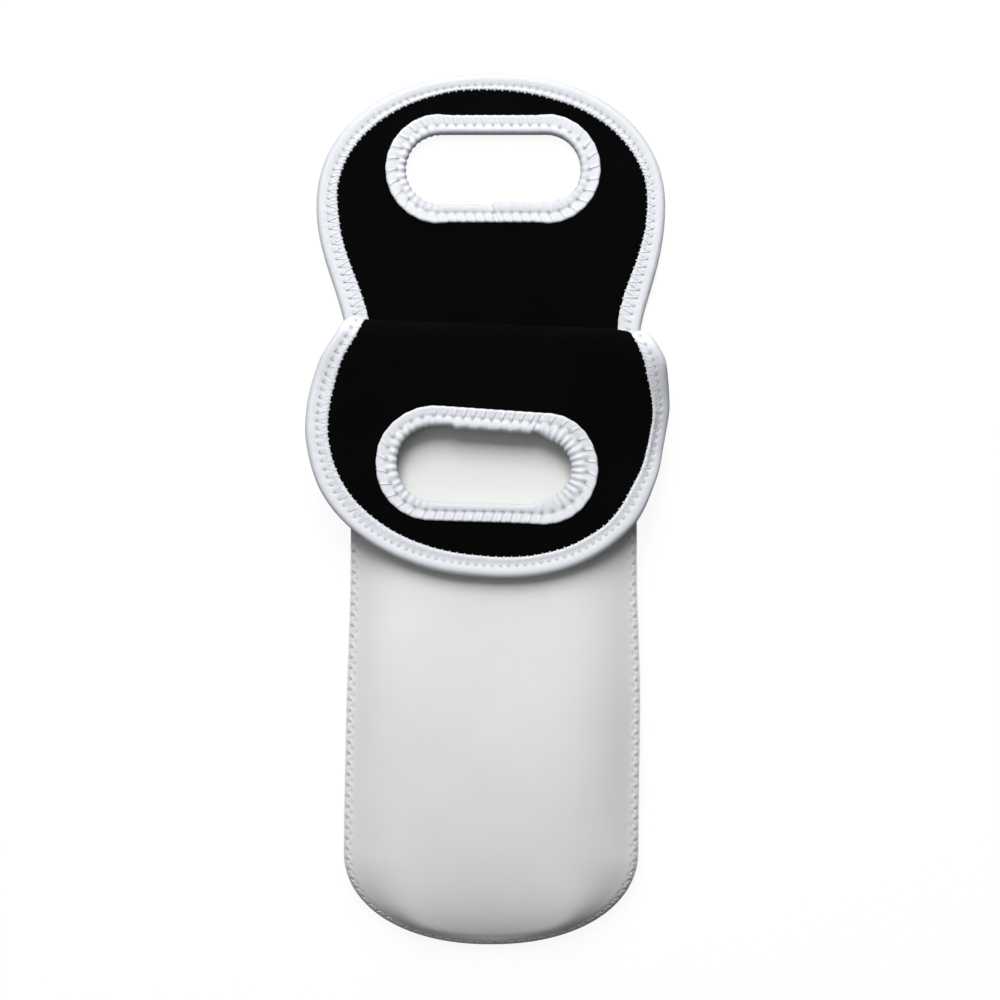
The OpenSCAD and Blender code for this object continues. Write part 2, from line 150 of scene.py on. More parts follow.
def clipped(points, skew, at, above):
    """The stretch of an outline on one side of a line along the fold."""
    side = [(fold_up(x, v, skew) - at) * (1 if above else -1) for x, v in points]
    inside = [i for i, d in enumerate(side) if d > 0]
    first, last = inside[0], inside[-1]

    def crossing(i, j):
        share = side[i] / (side[i] - side[j])
        return tuple(np.array(points[i]) * (1 - share) + np.array(points[j]) * share)

    kept = points[first:last + 1]
    start = [crossing(first - 1, first)] if first > 0 else []
    end = [crossing(last, last + 1)] if last + 1 < len(points) else []
    return start + kept + end


def walk(points, step, closed=False):
    """Even steps along an outline that runs anticlockwise: rows of x, v, outward x, outward v
    and the length so far."""
    line = np.array(points, float)
    if closed:
        line = np.vstack([line, line[:1]])
    keep = np.concatenate([[True], np.linalg.norm(np.diff(line, axis=0), axis=1) > 1e-6])
    line = line[keep]
    sums = np.concatenate([[0], np.cumsum(np.linalg.norm(np.diff(line, axis=0), axis=1))])
    count = max(2, round(sums[-1] / step))
    at = np.linspace(0, sums[-1], count + 1)
    x, v = np.interp(at, sums, line[:, 0]), np.interp(at, sums, line[:, 1])
    reach = 1.2
    ahead, behind = at + reach, at - reach
    if closed:
        ahead, behind = ahead % sums[-1], behind % sums[-1]
    run_x = np.interp(ahead, sums, line[:, 0]) - np.interp(behind, sums, line[:, 0])
    run_v = np.interp(ahead, sums, line[:, 1]) - np.interp(behind, sums, line[:, 1])
    norm = np.hypot(run_x, run_v)
    return np.stack([x, v, run_v / norm, -run_x / norm, at], axis=1)


def whole_outline(wide_l, from_tip):
    """The outline as an anticlockwise list that starts at the head's tip or the bottom tip."""
    right = half_outline(wide_l)
    left = [(-x, v) for x, v in reversed(right)]
    return left + right[1:] if from_tip else right + left[1:]


for name, wide_l in (("back", BACK_WIDE_L), ("front", FRONT_WIDE_L)):
    print(name, "panel edge:", round(walk(whole_outline(wide_l, False), 1)[-1][4]), "mm round")

# %% [markdown]
# ## Bending the pattern into place
# An empty pouch isn't flat: the panels are pinched together at the seam and puff up inside it. The
# height depends on how far a place is from the middle line and from the mouth. The front panel then
# turns through half a circle at the fold and lies back over the pouch.

# %% Height of the puffed panels
BACK_LEVEL, CROWN_POWER, CROWN_SOFT = 0.25, 2.2, 0.07
LEFT_LEVEL, RIGHT_LEVEL, FOOT_LEVEL = 0.46, 0.56, 0.1
TIGHT_ROLL_L, WIDE_ROLL_L, TIGHT_SHARE = 12.0, 35.0, 0.6


def band_w(v):
    return SEAM_BAND_W + (EDGE_TAPE_W - SEAM_BAND_W) * clamp(2 + v / SLIT_L)


def share_at(x, v, wide_l):
    """0 on the middle line, 1 at the flat band along the seam."""
    if v >= CAP_V:
        return abs(x) / (side_half(v, wide_l) - band_w(v))
    across, down = abs(x) / (LOW_HALF - SEAM_BAND_W), (CAP_V - v) / (BOTTOM_H - SEAM_BAND_W)
    return (across ** SQUARE_SHARE + down ** SQUARE_SHARE) ** (1 / SQUARE_SHARE)


def crown(share, level):
    t = max(1 - share, 0) / level
    soft = math.hypot(t, CROWN_SOFT) - CROWN_SOFT
    return 1 - (1 - clamp(soft / (math.hypot(1, CROWN_SOFT) - CROWN_SOFT))) ** CROWN_POWER


def edge_droop(x, v, wide_l):
    """How far the seam hangs below the middle of the pouch's edge, most of all at the bottom."""
    out = clamp((share_at(x, v, wide_l) - 0.98) / 0.094) ** 1.3
    most = 0.8 + 3.2 * ease((CAP_V + 25 - v) / (BOTTOM_H + 10))
    return most * out * ease((-v - SLIT_L) / 20)


def edge_rise(v):
    return MOUTH_GAP / 2 * ease(1 + v / SLIT_L)


def bottom_roll(v):
    """The pouch rolls down to its bottom, gently at first and then tightly."""
    up = max(v + POUCH_L - SEAM_BAND_W, 0)
    tight, wide = 1 - math.exp(-up / TIGHT_ROLL_L), 1 - math.exp(-up / WIDE_ROLL_L)
    return TIGHT_SHARE * tight + (1 - TIGHT_SHARE) * wide


def front_level(x, v):
    """How far in from its edge the front panel is still rising, as a share of its half width."""
    beside = LEFT_LEVEL + (RIGHT_LEVEL - LEFT_LEVEL) * ease(0.5 + x / 60)
    across, down = abs(x) / LOW_HALF, max(CAP_V - v, 0) / BOTTOM_H
    foot = ease(1.25 * down ** 2 / (across ** 2 + down ** 2 + 1e-6))
    return beside + (FOOT_LEVEL - beside) * foot


def front_rise(x, v):
    full = MOUTH_GAP / 2 + (BELLY_GAP - MOUTH_GAP / 2 - SEAM_Z + SHEET_T) * ease(-v / BELLY_L)
    rise = bottom_roll(v)
    wave = 0.22 * math.sin(v / 17 + 0.6) * math.cos(x / 23 - 0.4) * ease(-v / 40)
    puffed = crown(share_at(x, v, FRONT_WIDE_L), front_level(x, v))
    sunk = edge_droop(x, v, FRONT_WIDE_L)
    return edge_rise(v) + (full * rise + wave - edge_rise(v)) * puffed - sunk


def back_drop(x, v):
    full = MOUTH_GAP / 2 + TAPE_T * ease(-v / LEAN_L)
    drop = 1 - (1 - clamp((v + POUCH_L - SEAM_BAND_W) / (BOTTOM_SLOPE_L / 2))) ** 2
    puffed = crown(share_at(x, v, BACK_WIDE_L), BACK_LEVEL)
    sunk = edge_droop(x, v, BACK_WIDE_L)
    return edge_rise(v) + (full * drop - edge_rise(v)) * puffed + sunk


# %% How the empty carrier lies
# The neck lies a little to the right, and the pouch narrows towards it. The folded head lies
# further to the right and droops at its sides. It is drawn out at its lower left and right, the
# ends of the fold are nipped in, and its right edge curls down.
SIDE_DROOP, RIGHT_DROOP, TIP_DROOP = 1.5, 3.5, 0.8
NECK_SWAY, HEAD_SWAY, TIP_SWAY = 1.25, 2.4, 1.0
HEAD_SPREAD, LEFT_PULL, RIGHT_PULL, FOLD_SAG = 0.8, 2.0, 2.5, 1.6
LEFT_NIP, RIGHT_NIP, SWELL, SPILL = 3.7, 0.8, 2.9, 1.2
POUCH_NARROW, NECK_NARROW = 1.5, 0.45
CURL, CURL_START, CURL_L = math.radians(30), 55.0, 12.0


def lie_low(x, v):
    """Sideways lie of the pouch, the same for both panels."""
    narrow = POUCH_NARROW * ease((v + 165) / 70) * (1 - 0.7 * ease((v + 70) / 60))
    return x * (1 - narrow / LOW_HALF) + NECK_SWAY * ease((v + 240) / 110)


def hump(t):
    return math.exp(-t * t)


def fold_nip(x, up):
    """How far the edge is drawn in at the ends of the fold."""
    left = LEFT_NIP * clamp((-x - 40) / 22) * (1 - ease((up - 10) / 22))
    right = RIGHT_NIP * clamp((x - 48) / 14) * (1 - ease((up - 10) / 16))
    return (left - right) * ease((up + 14) / 20)


def lie_folded(x, up):
    """Sideways lie of the folded head, whose right side swells out again below the neck."""
    past = ease(up / (FOLD_L + 4))
    spread = HEAD_SPREAD * ease((up - 30) / 20) * ease((100 - up) / 20)
    sway = HEAD_SWAY * past + NECK_SWAY * (1 - past)
    sway += (TIP_SWAY - HEAD_SWAY) * ease((up - 42) / 24)
    swell = SWELL * hump((up - 23) / 10) * clamp(x / 70) ** 2
    spill = SPILL * ease((up - 24) / 14) * (1 - 0.35 * ease((up - 66) / 20))
    beside = swell + spill * clamp((x - 44) / 24) + fold_nip(x, up)
    return x * (1 - NECK_NARROW * (1 - past) / LOW_HALF + spread / 70) + sway + beside


def lie_open(x, v):
    narrow = NECK_NARROW * (1 - ease(v / 40))
    return x * (1 - narrow / LOW_HALF) + NECK_SWAY - 0.4 * ease(v / 12) - 0.95 * ease((v - 20) / 40)


def curl(run, most):
    """Reach sideways, fall and tilt at a length past the line where an edge starts to curl."""
    if run <= 0 or most < 0.001:
        return run, 0.0, 0.0
    tilt, past = most * clamp(run / CURL_L), max(run - CURL_L, 0)
    r = CURL_L / most
    return (r * math.sin(tilt) + past * math.cos(tilt),
            r * (1 - math.cos(tilt)) + past * math.sin(tilt), tilt)


# %% Place of a point of each panel
# w is the height over the middle of the sheet, positive towards the white face.
def place_front(x, v, w):
    sin, cos = math.sin(FOLD_SKEW), math.cos(FOLD_SKEW)
    up, across = fold_up(x, v, FOLD_SKEW), x * cos - v * sin
    if up <= 0:
        level = v + x * math.tan(FOLD_SKEW) * clamp(1 + v / LEAN_L)
        z = SEAM_Z + front_rise(x, level) + SHEET_T / 2 + w
        return Vector((lie_low(x, level) + fold_nip(x, up), MOUTH_Y + v, z)) * MM
    if up < FOLD_L:
        y = (FOLD_R - w) * math.sin(up / FOLD_R)
        z = FOLD_Z - (FOLD_R - w) * math.cos(up / FOLD_R)
    else:
        left = LEFT_PULL * ease((30 - x) / 60) * ease((up - 62) / 26) * ease((116 - up) / 26)
        edge = ease((math.hypot(x / 70, (up - 70) / 52) - 0.6) / 0.35)
        right = RIGHT_PULL * ease((x + 5) / 60) * ease((up - 78) / 18) * edge
        droop = SIDE_DROOP * ease((abs(across) - 36) / 40)
        droop += RIGHT_DROOP * clamp((across - 30) / 48) ** 1.6
        most = CURL * ease((up - 22) / 34) * (1 - 0.5 * ease((up - 62) / 25))
        aside, fall, tilt = curl(across - CURL_START, most)
        across = CURL_START + aside - w * math.sin(tilt) + 0.62 * right
        y = FOLD_L - up - left - 0.78 * right
        z = 2 * FOLD_Z - MOUTH_Z - w * math.cos(tilt) - fall
        z -= ease((up - FOLD_L) / 25) * droop + TIP_DROOP * ease((up - 70) / 50)
    y -= FOLD_SAG * ease((across - 48) / 16) * ease(up / 8) * ease((34 - up) / 16)
    side_x = lie_folded(across * cos + y * sin, up)
    return Vector((side_x, MOUTH_Y - across * sin + y * cos, z)) * MM


def place_back(x, v, w):
    if v >= 0:
        return Vector((lie_open(x, v), MOUTH_Y + v, HEAD_Z - w)) * MM
    z = SEAM_Z - back_drop(x, v) - SHEET_T / 2 - w
    return Vector((lie_low(x, v), MOUTH_Y + v, z)) * MM


print("front fold top at", [round(c, 4) for c in place_front(0, FOLD_L, 0)])

# %% [markdown]
# ## The two sides as records
# The front and the back are cut alike and differ in a few numbers, so each is one record that the
# later steps read. `ends` are four points on the middle line: at the mouth, JOIN_GRIP either side
# of the line where two pieces meet, and a fold's length past the mouth.
# `lip` says how much wider the hand-fed edge tape is at a length along it, from right to left.

# %% Front and back
JOIN_GRIP = 3.2
SIDES = {
    "front": {
        "wide_l": FRONT_WIDE_L, "grip_l": FRONT_GRIP_L, "skew": FOLD_SKEW, "place": place_front,
        "bodies": ("pouch", "front_fold", "front_handle"), "grip_x": 1.8,
        "lip": [(0, 0), (140, 0), (185, 1.2), (215, 2.0), (232, 1.7), (250, 1.0), (285, 1.3),
                (300, 0.6), (319, 0)],
    },
    "back": {
        "wide_l": BACK_WIDE_L, "grip_l": BACK_GRIP_L, "skew": 0.0, "place": place_back,
        "bodies": ("pouch", "back_fold", "back_handle"), "grip_x": 1.0,
        "lip": [(0, 2.2), (12, 2.3), (30, 0.7), (42, -0.3), (68, -0.9), (90, -0.3), (130, -0.3),
                (178, -1.4), (225, -0.2), (260, 0.2), (275, 1.2), (290, 1.3), (310, 2.1),
                (324, 2.6)],
    },
}
for side in SIDES.values():
    lengths = (0, SPLIT - JOIN_GRIP, SPLIT + JOIN_GRIP, FOLD_L)
    side["ends"] = [side["place"](0, v, 0) for v in lengths]
    side["low_edge"] = clipped(whole_outline(side["wide_l"], True), side["skew"], SPLIT, False)
    side["head_edge"] = clipped(whole_outline(side["wide_l"], False), side["skew"], SPLIT, True)
    print([tuple(round(c * 1000, 1) for c in p) for p in side["ends"]])

# %% Helpers that finish a mesh
SHARP_TURN = math.radians(58)
pieces = {}


def linked(name, data):
    """A new object of these data, linked to the scene."""
    obj = bpy.data.objects.new(name, data)
    bpy.context.scene.collection.objects.link(obj)
    return obj


def dressed(bm, name, place):
    """Bends a flat bmesh into place, points its faces outwards and makes it an object."""
    for vert in bm.verts:
        vert.co = place(vert)
    bmesh.ops.recalc_face_normals(bm, faces=bm.faces)
    mesh = bpy.data.meshes.new(name)
    bm.to_mesh(mesh)
    bm.free()
    mesh.shade_smooth()
    mesh.set_sharp_from_angle(angle=SHARP_TURN)
    return linked(name, mesh)


def enter(piece):
    """Keeps a finished piece for the finishes and says how large its mesh is."""
    pieces[piece.name] = piece
    print(piece.name, len(piece.data.polygons), "faces")


def attach(piece, side, part, *nodes):
    """Hides the nodes a piece stands for and keeps the piece. A piece of the pouch or the head
    stays where it is, and a piece of the grip rides on the head alone."""
    pouch, fold, head = side["bodies"]
    if nodes:
        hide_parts(*nodes)
    if part == "pouch":
        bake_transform(piece)
    elif part == "head":
        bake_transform(piece)
    else:
        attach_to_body(piece, head)
    enter(piece)


# %% [markdown]
# ## Cutting a layer
# Each layer starts as a grid whose rows run along the outline and whose columns run inwards, so the
# faces follow the edge, where the stitching pinches it. The pouch half closes along its middle
# line, and the head half closes round the grip hole. The grid then gets its thickness and is bent.

# %% Rows from the edge inwards
BAND_INSETS = [0, 0.25, 0.55, 0.9, 1.3, 1.7, 2.1, 2.5, 2.9]
INNER_SHARES = [1, 0.985, 0.97, 0.955, 0.935, 0.91, 0.88, 0.84, 0.79, 0.72, 0.64, 0.55, 0.45, 0.34,
                0.22, 0.1, 0]
HEAD_SHARES = [0, 0.02, 0.04, 0.06, 0.08, 0.1, 0.12, 0.14, 0.17, 0.2, 0.24, 0.3, 0.38, 0.46, 0.55,
               0.64, 0.73, 0.82, 0.9, 0.96, 1]
FOOT_SHARE, BAND_FILL = 0.6, 0.92
WELD, NO_SEAM = 0.02, 50.0


def grid_of(columns, rows):
    """A bmesh grid, the column and row of each of its vertices, and layers for the way along and
    in from the edge."""
    bm = bmesh.new()
    along_layer = bm.verts.layers.float.new("along")
    inset_layer = bm.verts.layers.float.new("inset")
    bmesh.ops.create_grid(bm, x_segments=columns, y_segments=rows, size=1)
    index = {
        v: (round((v.co.x + 1) / 2 * columns), round((v.co.y + 1) / 2 * rows)) for v in bm.verts
    }
    return bm, index, along_layer, inset_layer


def low_place(stations, i, row):
    """Flat place of a grid vertex of the pouch half. Rows lean from the edge to the middle line,
    where the left and right stations meet."""
    x, v, out_x, out_v, _ = stations[i]
    foot = (v + stations[-1 - i][1]) / 2
    lean = (foot - v) / abs(x) if v > CAP_V else 0.0
    if v > CAP_V:
        out_x, out_v = math.copysign(1, out_x), -lean
    foot = foot if foot > CAP_V else CAP_V - FOOT_SHARE * (CAP_V - foot)
    band = band_w(v)
    if row < len(BAND_INSETS):
        inset = BAND_INSETS[row] * band / BAND_INSETS[-1] * BAND_FILL
        return x - out_x * inset, v - out_v * inset
    share = INNER_SHARES[row - len(BAND_INSETS)]
    band_x, band_v = x - out_x * band, v - out_v * band
    return band_x * share, foot + (band_v - foot) * share


# %% Thickness and maps of a layer
def mark_cloth(bm, inset_layer, along_layer):
    """Two maps: the flat pattern in metres, and the way along and in from the edge."""
    cloth = bm.loops.layers.uv.new("cloth")
    edge = bm.loops.layers.uv.new("edge")
    for face in bm.faces:
        for loop in face.loops:
            vert = loop.vert
            loop[cloth].uv = (vert.co.x * MM, vert.co.y * MM)
            loop[edge].uv = (vert[along_layer] * MM, vert[inset_layer] * MM)


def thickened(bm, inset_layer, along_layer):
    """Welds a flat grid, gives it thickness and maps, and returns its flat area in m2."""
    bmesh.ops.remove_doubles(bm, verts=bm.verts, dist=WELD)
    flat_area = sum(f.calc_area() for f in bm.faces) * MM * MM
    bmesh.ops.solidify(bm, geom=bm.faces, thickness=1)
    mark_cloth(bm, inset_layer, along_layer)
    return flat_area


# %% A layer of the pouch half
def cut_low(side, low, high, step, name):
    """The pouch and the first half of the fold strip, between two heights over the sheet."""
    stations = walk(side["low_edge"], step)
    rows = len(BAND_INSETS) + len(INNER_SHARES) - 1
    bm, index, along_layer, inset_layer = grid_of(len(stations) - 1, rows)
    for vert, (i, row) in index.items():
        x, v = low_place(stations, i, row)
        vert.co = (x, v, 0)
        vert[inset_layer] = math.hypot(x - stations[i][0], v - stations[i][1])
        vert[along_layer] = stations[i][4]
    flat_area = thickened(bm, inset_layer, along_layer)

    def bend(vert):
        w = high if abs(vert.co.z) < 0.5 else low
        drawn = seam_pinch(vert[along_layer], vert[inset_layer], vert.co.y, step > FINE)
        return side["place"](vert.co.x, vert.co.y, w - drawn * (w + SHEET_T / 2) / SHEET_T)

    obj = dressed(bm, name, bend)
    obj["flat_area"] = flat_area
    return obj


# %% Pinch of the side seam
SEAM_INSET, SEAM_PITCH, SEAM_ZIGZAG_W = 2.0, 4.7, 1.8
SEAM_START = 31.0
PIT_D, VALLEY_D, ROLLED_D = 0.42, 0.2, 0.9


def seam_wave(along):
    """Where the zigzag is at a length along the edge: +1 at an inner hole, -1 at an outer one."""
    t = (along - SEAM_START) / SEAM_PITCH % 1
    return 4 * abs(t - 0.5) - 1


def seam_pinch(along, inset, v, even):
    """How far the white face is drawn in by thread and cut edge. The layers under it get an even
    trough in place of the pits."""
    if v > -SLIT_L or inset > 9:
        return 0.0
    fade = ease((-v - SLIT_L) / 6)
    hole = SEAM_INSET + SEAM_ZIGZAG_W / 2 * (0 if even else seam_wave(along))
    t = (along - SEAM_START) / SEAM_PITCH * 2
    near_hole = 1 if even else 0.5 + 0.5 * math.cos(2 * math.pi * t)
    pit = PIT_D * near_hole * hump((inset - hole) / (1.4 if even else 0.8))
    valley = VALLEY_D * hump((inset - SEAM_INSET) / 1.9)
    rolled = ROLLED_D * hump(inset / 1.1)
    return fade * (pit + valley + rolled)


# %% A layer of the head half
FOLD_LINE_STEP = 2.6


def head_loop(side, step):
    """The outline of the head half as a closed loop: the edge, then back along the fold line."""
    edge = walk(side["head_edge"], step)
    left, right = edge[-1], edge[0]
    count = round((right[0] - left[0]) / FOLD_LINE_STEP)
    row = [(left[0] + (right[0] - left[0]) * i / count, left[1] + (right[1] - left[1]) * i / count)
           for i in range(1, count)]
    return [(p[0], p[1]) for p in edge] + row


def hole_place(x, v, side, out):
    """The place on the edge of the grip hole that faces a place outside it."""
    straight, middle = (GRIP_L - GRIP_H) / 2, side["grip_x"]
    foot = min(max(x, middle - straight), middle + straight)
    way = Vector((x - foot, v - side["grip_l"])).normalized()
    return foot + way.x * out, side["grip_l"] + way.y * out


def cut_head(side, low, high, step, name):
    """The head and the second half of the fold strip, between two heights over the sheet."""
    place, loop = side["place"], head_loop(side, step)
    n = len(loop)
    bm, index, along_layer, inset_layer = grid_of(n, len(HEAD_SHARES) - 1)
    for vert, (i, row) in index.items():
        x, v = loop[i % n]
        hole_x, hole_v = hole_place(x, v, side, GRIP_H / 2 + TAPE_T)
        share = HEAD_SHARES[row]
        vert.co = (x + (hole_x - x) * share, v + (hole_v - v) * share, 0)
        vert[inset_layer], vert[along_layer] = NO_SEAM, 0.0
    flat_area = thickened(bm, inset_layer, along_layer)
    obj = dressed(bm, name,
                  lambda vert: place(vert.co.x, vert.co.y, high if abs(vert.co.z) < 0.5 else low))
    obj["flat_area"] = flat_area
    return obj


# %% [markdown]
# ## The three bonded layers
# A white knit face, a black foam core and a black knit lining, on each side of the pouch. The cut
# edge of the pouch shows all three, so they are three pieces with their own finish.

# %% Cut all the layers
GLUE = 0.01
LAYERS = {
    "knit_face": (FOAM_T / 2 + GLUE, FOAM_T / 2 + FACE_T),
    "foam": (-FOAM_T / 2, FOAM_T / 2),
    "lining": (-FOAM_T / 2 - LINING_T, -FOAM_T / 2 - GLUE),
}
FINE, COARSE, HEAD_STEP = 0.79, 2.4, 1.6
for side_name, side in SIDES.items():
    for layer, (low, high) in LAYERS.items():
        step, fold_node = FINE if layer == "knit_face" else COARSE, f"{side_name}_fold_{layer}"
        piece = cut_low(side, low, high, step, f"{side_name}_pouch_{layer}")
        attach(piece, side, "pouch", f"{side_name}_{layer}", fold_node)
        piece = cut_head(side, low, high, HEAD_STEP, f"{side_name}_head_{layer}")
        attach(piece, side, "head", f"{side_name}_handle_{layer}", fold_node)

# %% [markdown]
# ## Binding tape
# A soft stretch tape is folded over the cut edge and sewn through all layers. Seen from above, it
# has a plump outer roll, a line of needle holes, and a flat lip whose inner edge is drawn into
# scallops by the zigzag thread. The section below gives that shape as inset and height pairs.

# %% Section of the tape
NEEDLE_INSET = 5.3
OUTSIDE_H = SHEET_T / 2 + 0.05


def roll_section(width, roll_w, needle, top, lip):
    """Upper half of the tape's outside, from the outermost point to the lip, as inset, height."""
    turns = np.radians(np.linspace(0, 90, 8))
    roll = [(roll_w * 0.5 * (1 - math.cos(a)), top * math.sin(a) ** 0.85) for a in turns]
    over = [(roll_w * 0.62, top), (roll_w * 0.78, top * 0.97), (roll_w * 0.92, top * 0.92)]
    groove = [(needle - 0.4, top - 0.24), (needle, top - 0.4), (needle + 0.5, top - 0.42)]
    valley = [(needle + (width - needle) * t, lip - 0.18 * (1 - t)) for t in (0.28, 0.42)]
    rope = [(width - 1.4, lip), (width - 0.9, lip + 0.08), (width - 0.45, lip),
            (width - 0.12, lip - 0.2)]
    return roll + over + groove + valley + rope + [(width, SHEET_T / 2 + 0.03)]


def tape_section(width, roll_w, needle, top, lip, under_top, under_lip):
    """The closed section: the white side, round the edge, the lining side, and the inside."""
    upper = roll_section(width, roll_w, needle, top, lip)
    lower = [(i, -h) for i, h in roll_section(width, roll_w, needle, under_top, under_lip)]
    inside = [(TAPE_T, -SHEET_T / 2 - 0.02), (TAPE_T, SHEET_T / 2 + 0.02)]
    return list(reversed(upper)) + lower[1:] + inside


# %% Lay a tape along an edge
def lay_tape(stations, section, place, shape, closed, name):
    """A tube with this section along the stations. shape(along, inset, height) gives a point its
    worked inset and height."""
    n, rows = len(stations) - 1, len(section)
    bm, index, along_layer, inset_layer = grid_of(n, rows)
    for vert, (i, row) in index.items():
        x, v, out_x, out_v, along = stations[i]
        inset, height = section[row % rows]
        new_inset, new_height = shape(along, inset, height)
        out = TAPE_T - new_inset
        vert.co = (x + out_x * out, v + out_v * out, new_height)
        vert[along_layer], vert[inset_layer] = along, inset
    bmesh.ops.remove_doubles(bm, verts=bm.verts, dist=0.004)
    if not closed:
        rim = [e for e in bm.edges if e.is_boundary]
        caps = bmesh.ops.holes_fill(bm, edges=rim)["faces"]
        bmesh.ops.triangulate(bm, faces=caps)
    mark_cloth(bm, inset_layer, along_layer)
    return dressed(bm, name, lambda vert: place(vert.co.x, vert.co.y, vert.co.z))


# %% Tape round the heads
EDGE_PITCH, SCALLOP_W, SCALLOP_D = 3.6, 1.2, 0.22


def jog(i, seed=0.0):
    """An uneven share from 0 to 1 that is always the same for the same stitch."""
    return (math.sin(i * 12.9898 + seed * 78.233) * 43758.5453) % 1


edge_section = tape_section(EDGE_TAPE_W, roll_w=5.0, needle=NEEDLE_INSET, top=2.4, lip=2.05,
                            under_top=2.45, under_lip=2.1)


def edge_shaper(total, lip):
    """Puckers of the edge tape: the roll swells between stitches and the lip is drawn in. They
    fade out at the tape's cut ends, so that two lengths meet flush. The lip's width follows its
    record."""
    def shape(along, inset, height):
        start = inset
        more = float(np.interp(along, [p[0] for p in lip], [p[1] for p in lip]))
        if start > NEEDLE_INSET:
            inset += more * (start - NEEDLE_INSET) / (EDGE_TAPE_W - NEEDLE_INSET)
        t = along / EDGE_PITCH
        near = 0.5 + 0.5 * math.cos(2 * math.pi * t)
        uneven = 0.5 + jog(round(t))
        fade = ease(along / 2.5) * ease((total - along) / 2.5)
        if start > EDGE_TAPE_W - SCALLOP_W:
            past = start - EDGE_TAPE_W + SCALLOP_W
            inset += SCALLOP_D * fade * (near * uneven - 0.5) * past / SCALLOP_W
        if abs(height) > OUTSIDE_H:
            dip = 0.2 * near * uneven * hump((inset - NEEDLE_INSET) / 1.2)
            slow = 0.1 * math.sin(along / 9.0) + 0.07 * math.sin(along / 3.7 + 1)
            wrinkle = 0.05 * math.sin(along * 2.9 + inset) * hump((inset - 6.2) / 1.2)
            height -= math.copysign(fade * (dip + 0.06 * (1 + slow) + wrinkle), height)
            inset += 0.1 * fade * math.sin(along / 13.0) * clamp(1 - inset / 4)
        return inset, height

    return shape


TAPE_STEP, END_FADE = 0.62, 14
for side_name, side in SIDES.items():
    place, fold_node = side["place"], f"{side_name}_fold_binding"
    head, low = walk(side["head_edge"], TAPE_STEP), walk(side["low_edge"], TAPE_STEP)
    side["head_stations"] = head
    side["head_shape"] = edge_shaper(head[-1][4], side["lip"])
    tape = lay_tape(head, edge_section, place, side["head_shape"], False, f"{side_name}_edge_tape")
    attach(tape, side, "head", f"{side_name}_handle_binding", fold_node)
    # the ends of the tape run down beside the slit, one on each side
    total, right_end, left_end = low[-1][4], side["lip"][0][1], side["lip"][-1][1]
    side["low_shape"] = edge_shaper(
        total, [(0, left_end), (END_FADE, 0), (total - END_FADE, 0), (total, right_end)])
    side["slit_stations"] = [[s for s in low if s[0] * hand > 0 and s[1] > -SLIT_L * 0.6]
                             for hand in (-1, 1)]
    for hand, part in zip(("left", "right"), side["slit_stations"]):
        end = lay_tape(part, edge_section, place, side["low_shape"], False,
                       f"{side_name}_tape_end_{hand}")
        attach(end, side, "pouch", f"{side_name}_binding_ends", fold_node)

# %% [markdown]
# ## Tape round the grip holes
# The same tape goes round the hole. On the tight ends it is gathered into ribs, and its outer half
# is pulled into slanting ropes by the overlock thread. Its ends lap on the long side of the hole.

# %% Grip tape
GRIP_PITCH, RIB_PITCH = 4.1, 3.1
GRIP_NEEDLE, BEAD_SLANT, GRIP_LIP_W = 3.9, 0.35, 1.3
grip_section = tape_section(GRIP_TAPE_W, roll_w=3.6, needle=GRIP_NEEDLE, top=2.3, lip=1.95,
                            under_top=2.5, under_lip=2.35)


def grip_loop(side, step):
    """Stations round a grip hole, measured on the hole in the sheet, from the middle of the lower
    long side, with outward meaning into the hole."""
    straight, r = (GRIP_L - GRIP_H) / 2, GRIP_H / 2 + TAPE_T
    right = [(straight + r * math.cos(a), side["grip_l"] + r * math.sin(a))
             for a in np.radians(np.linspace(-90, 90, 61))]
    left = [(-x, v) for x, v in right]
    points = [(0.0, side["grip_l"] - r)] + right + list(reversed(left))
    stations = walk(points, step, closed=True)
    stations[:, 0] += side["grip_x"]
    stations[:, 2:4] *= -1
    return stations


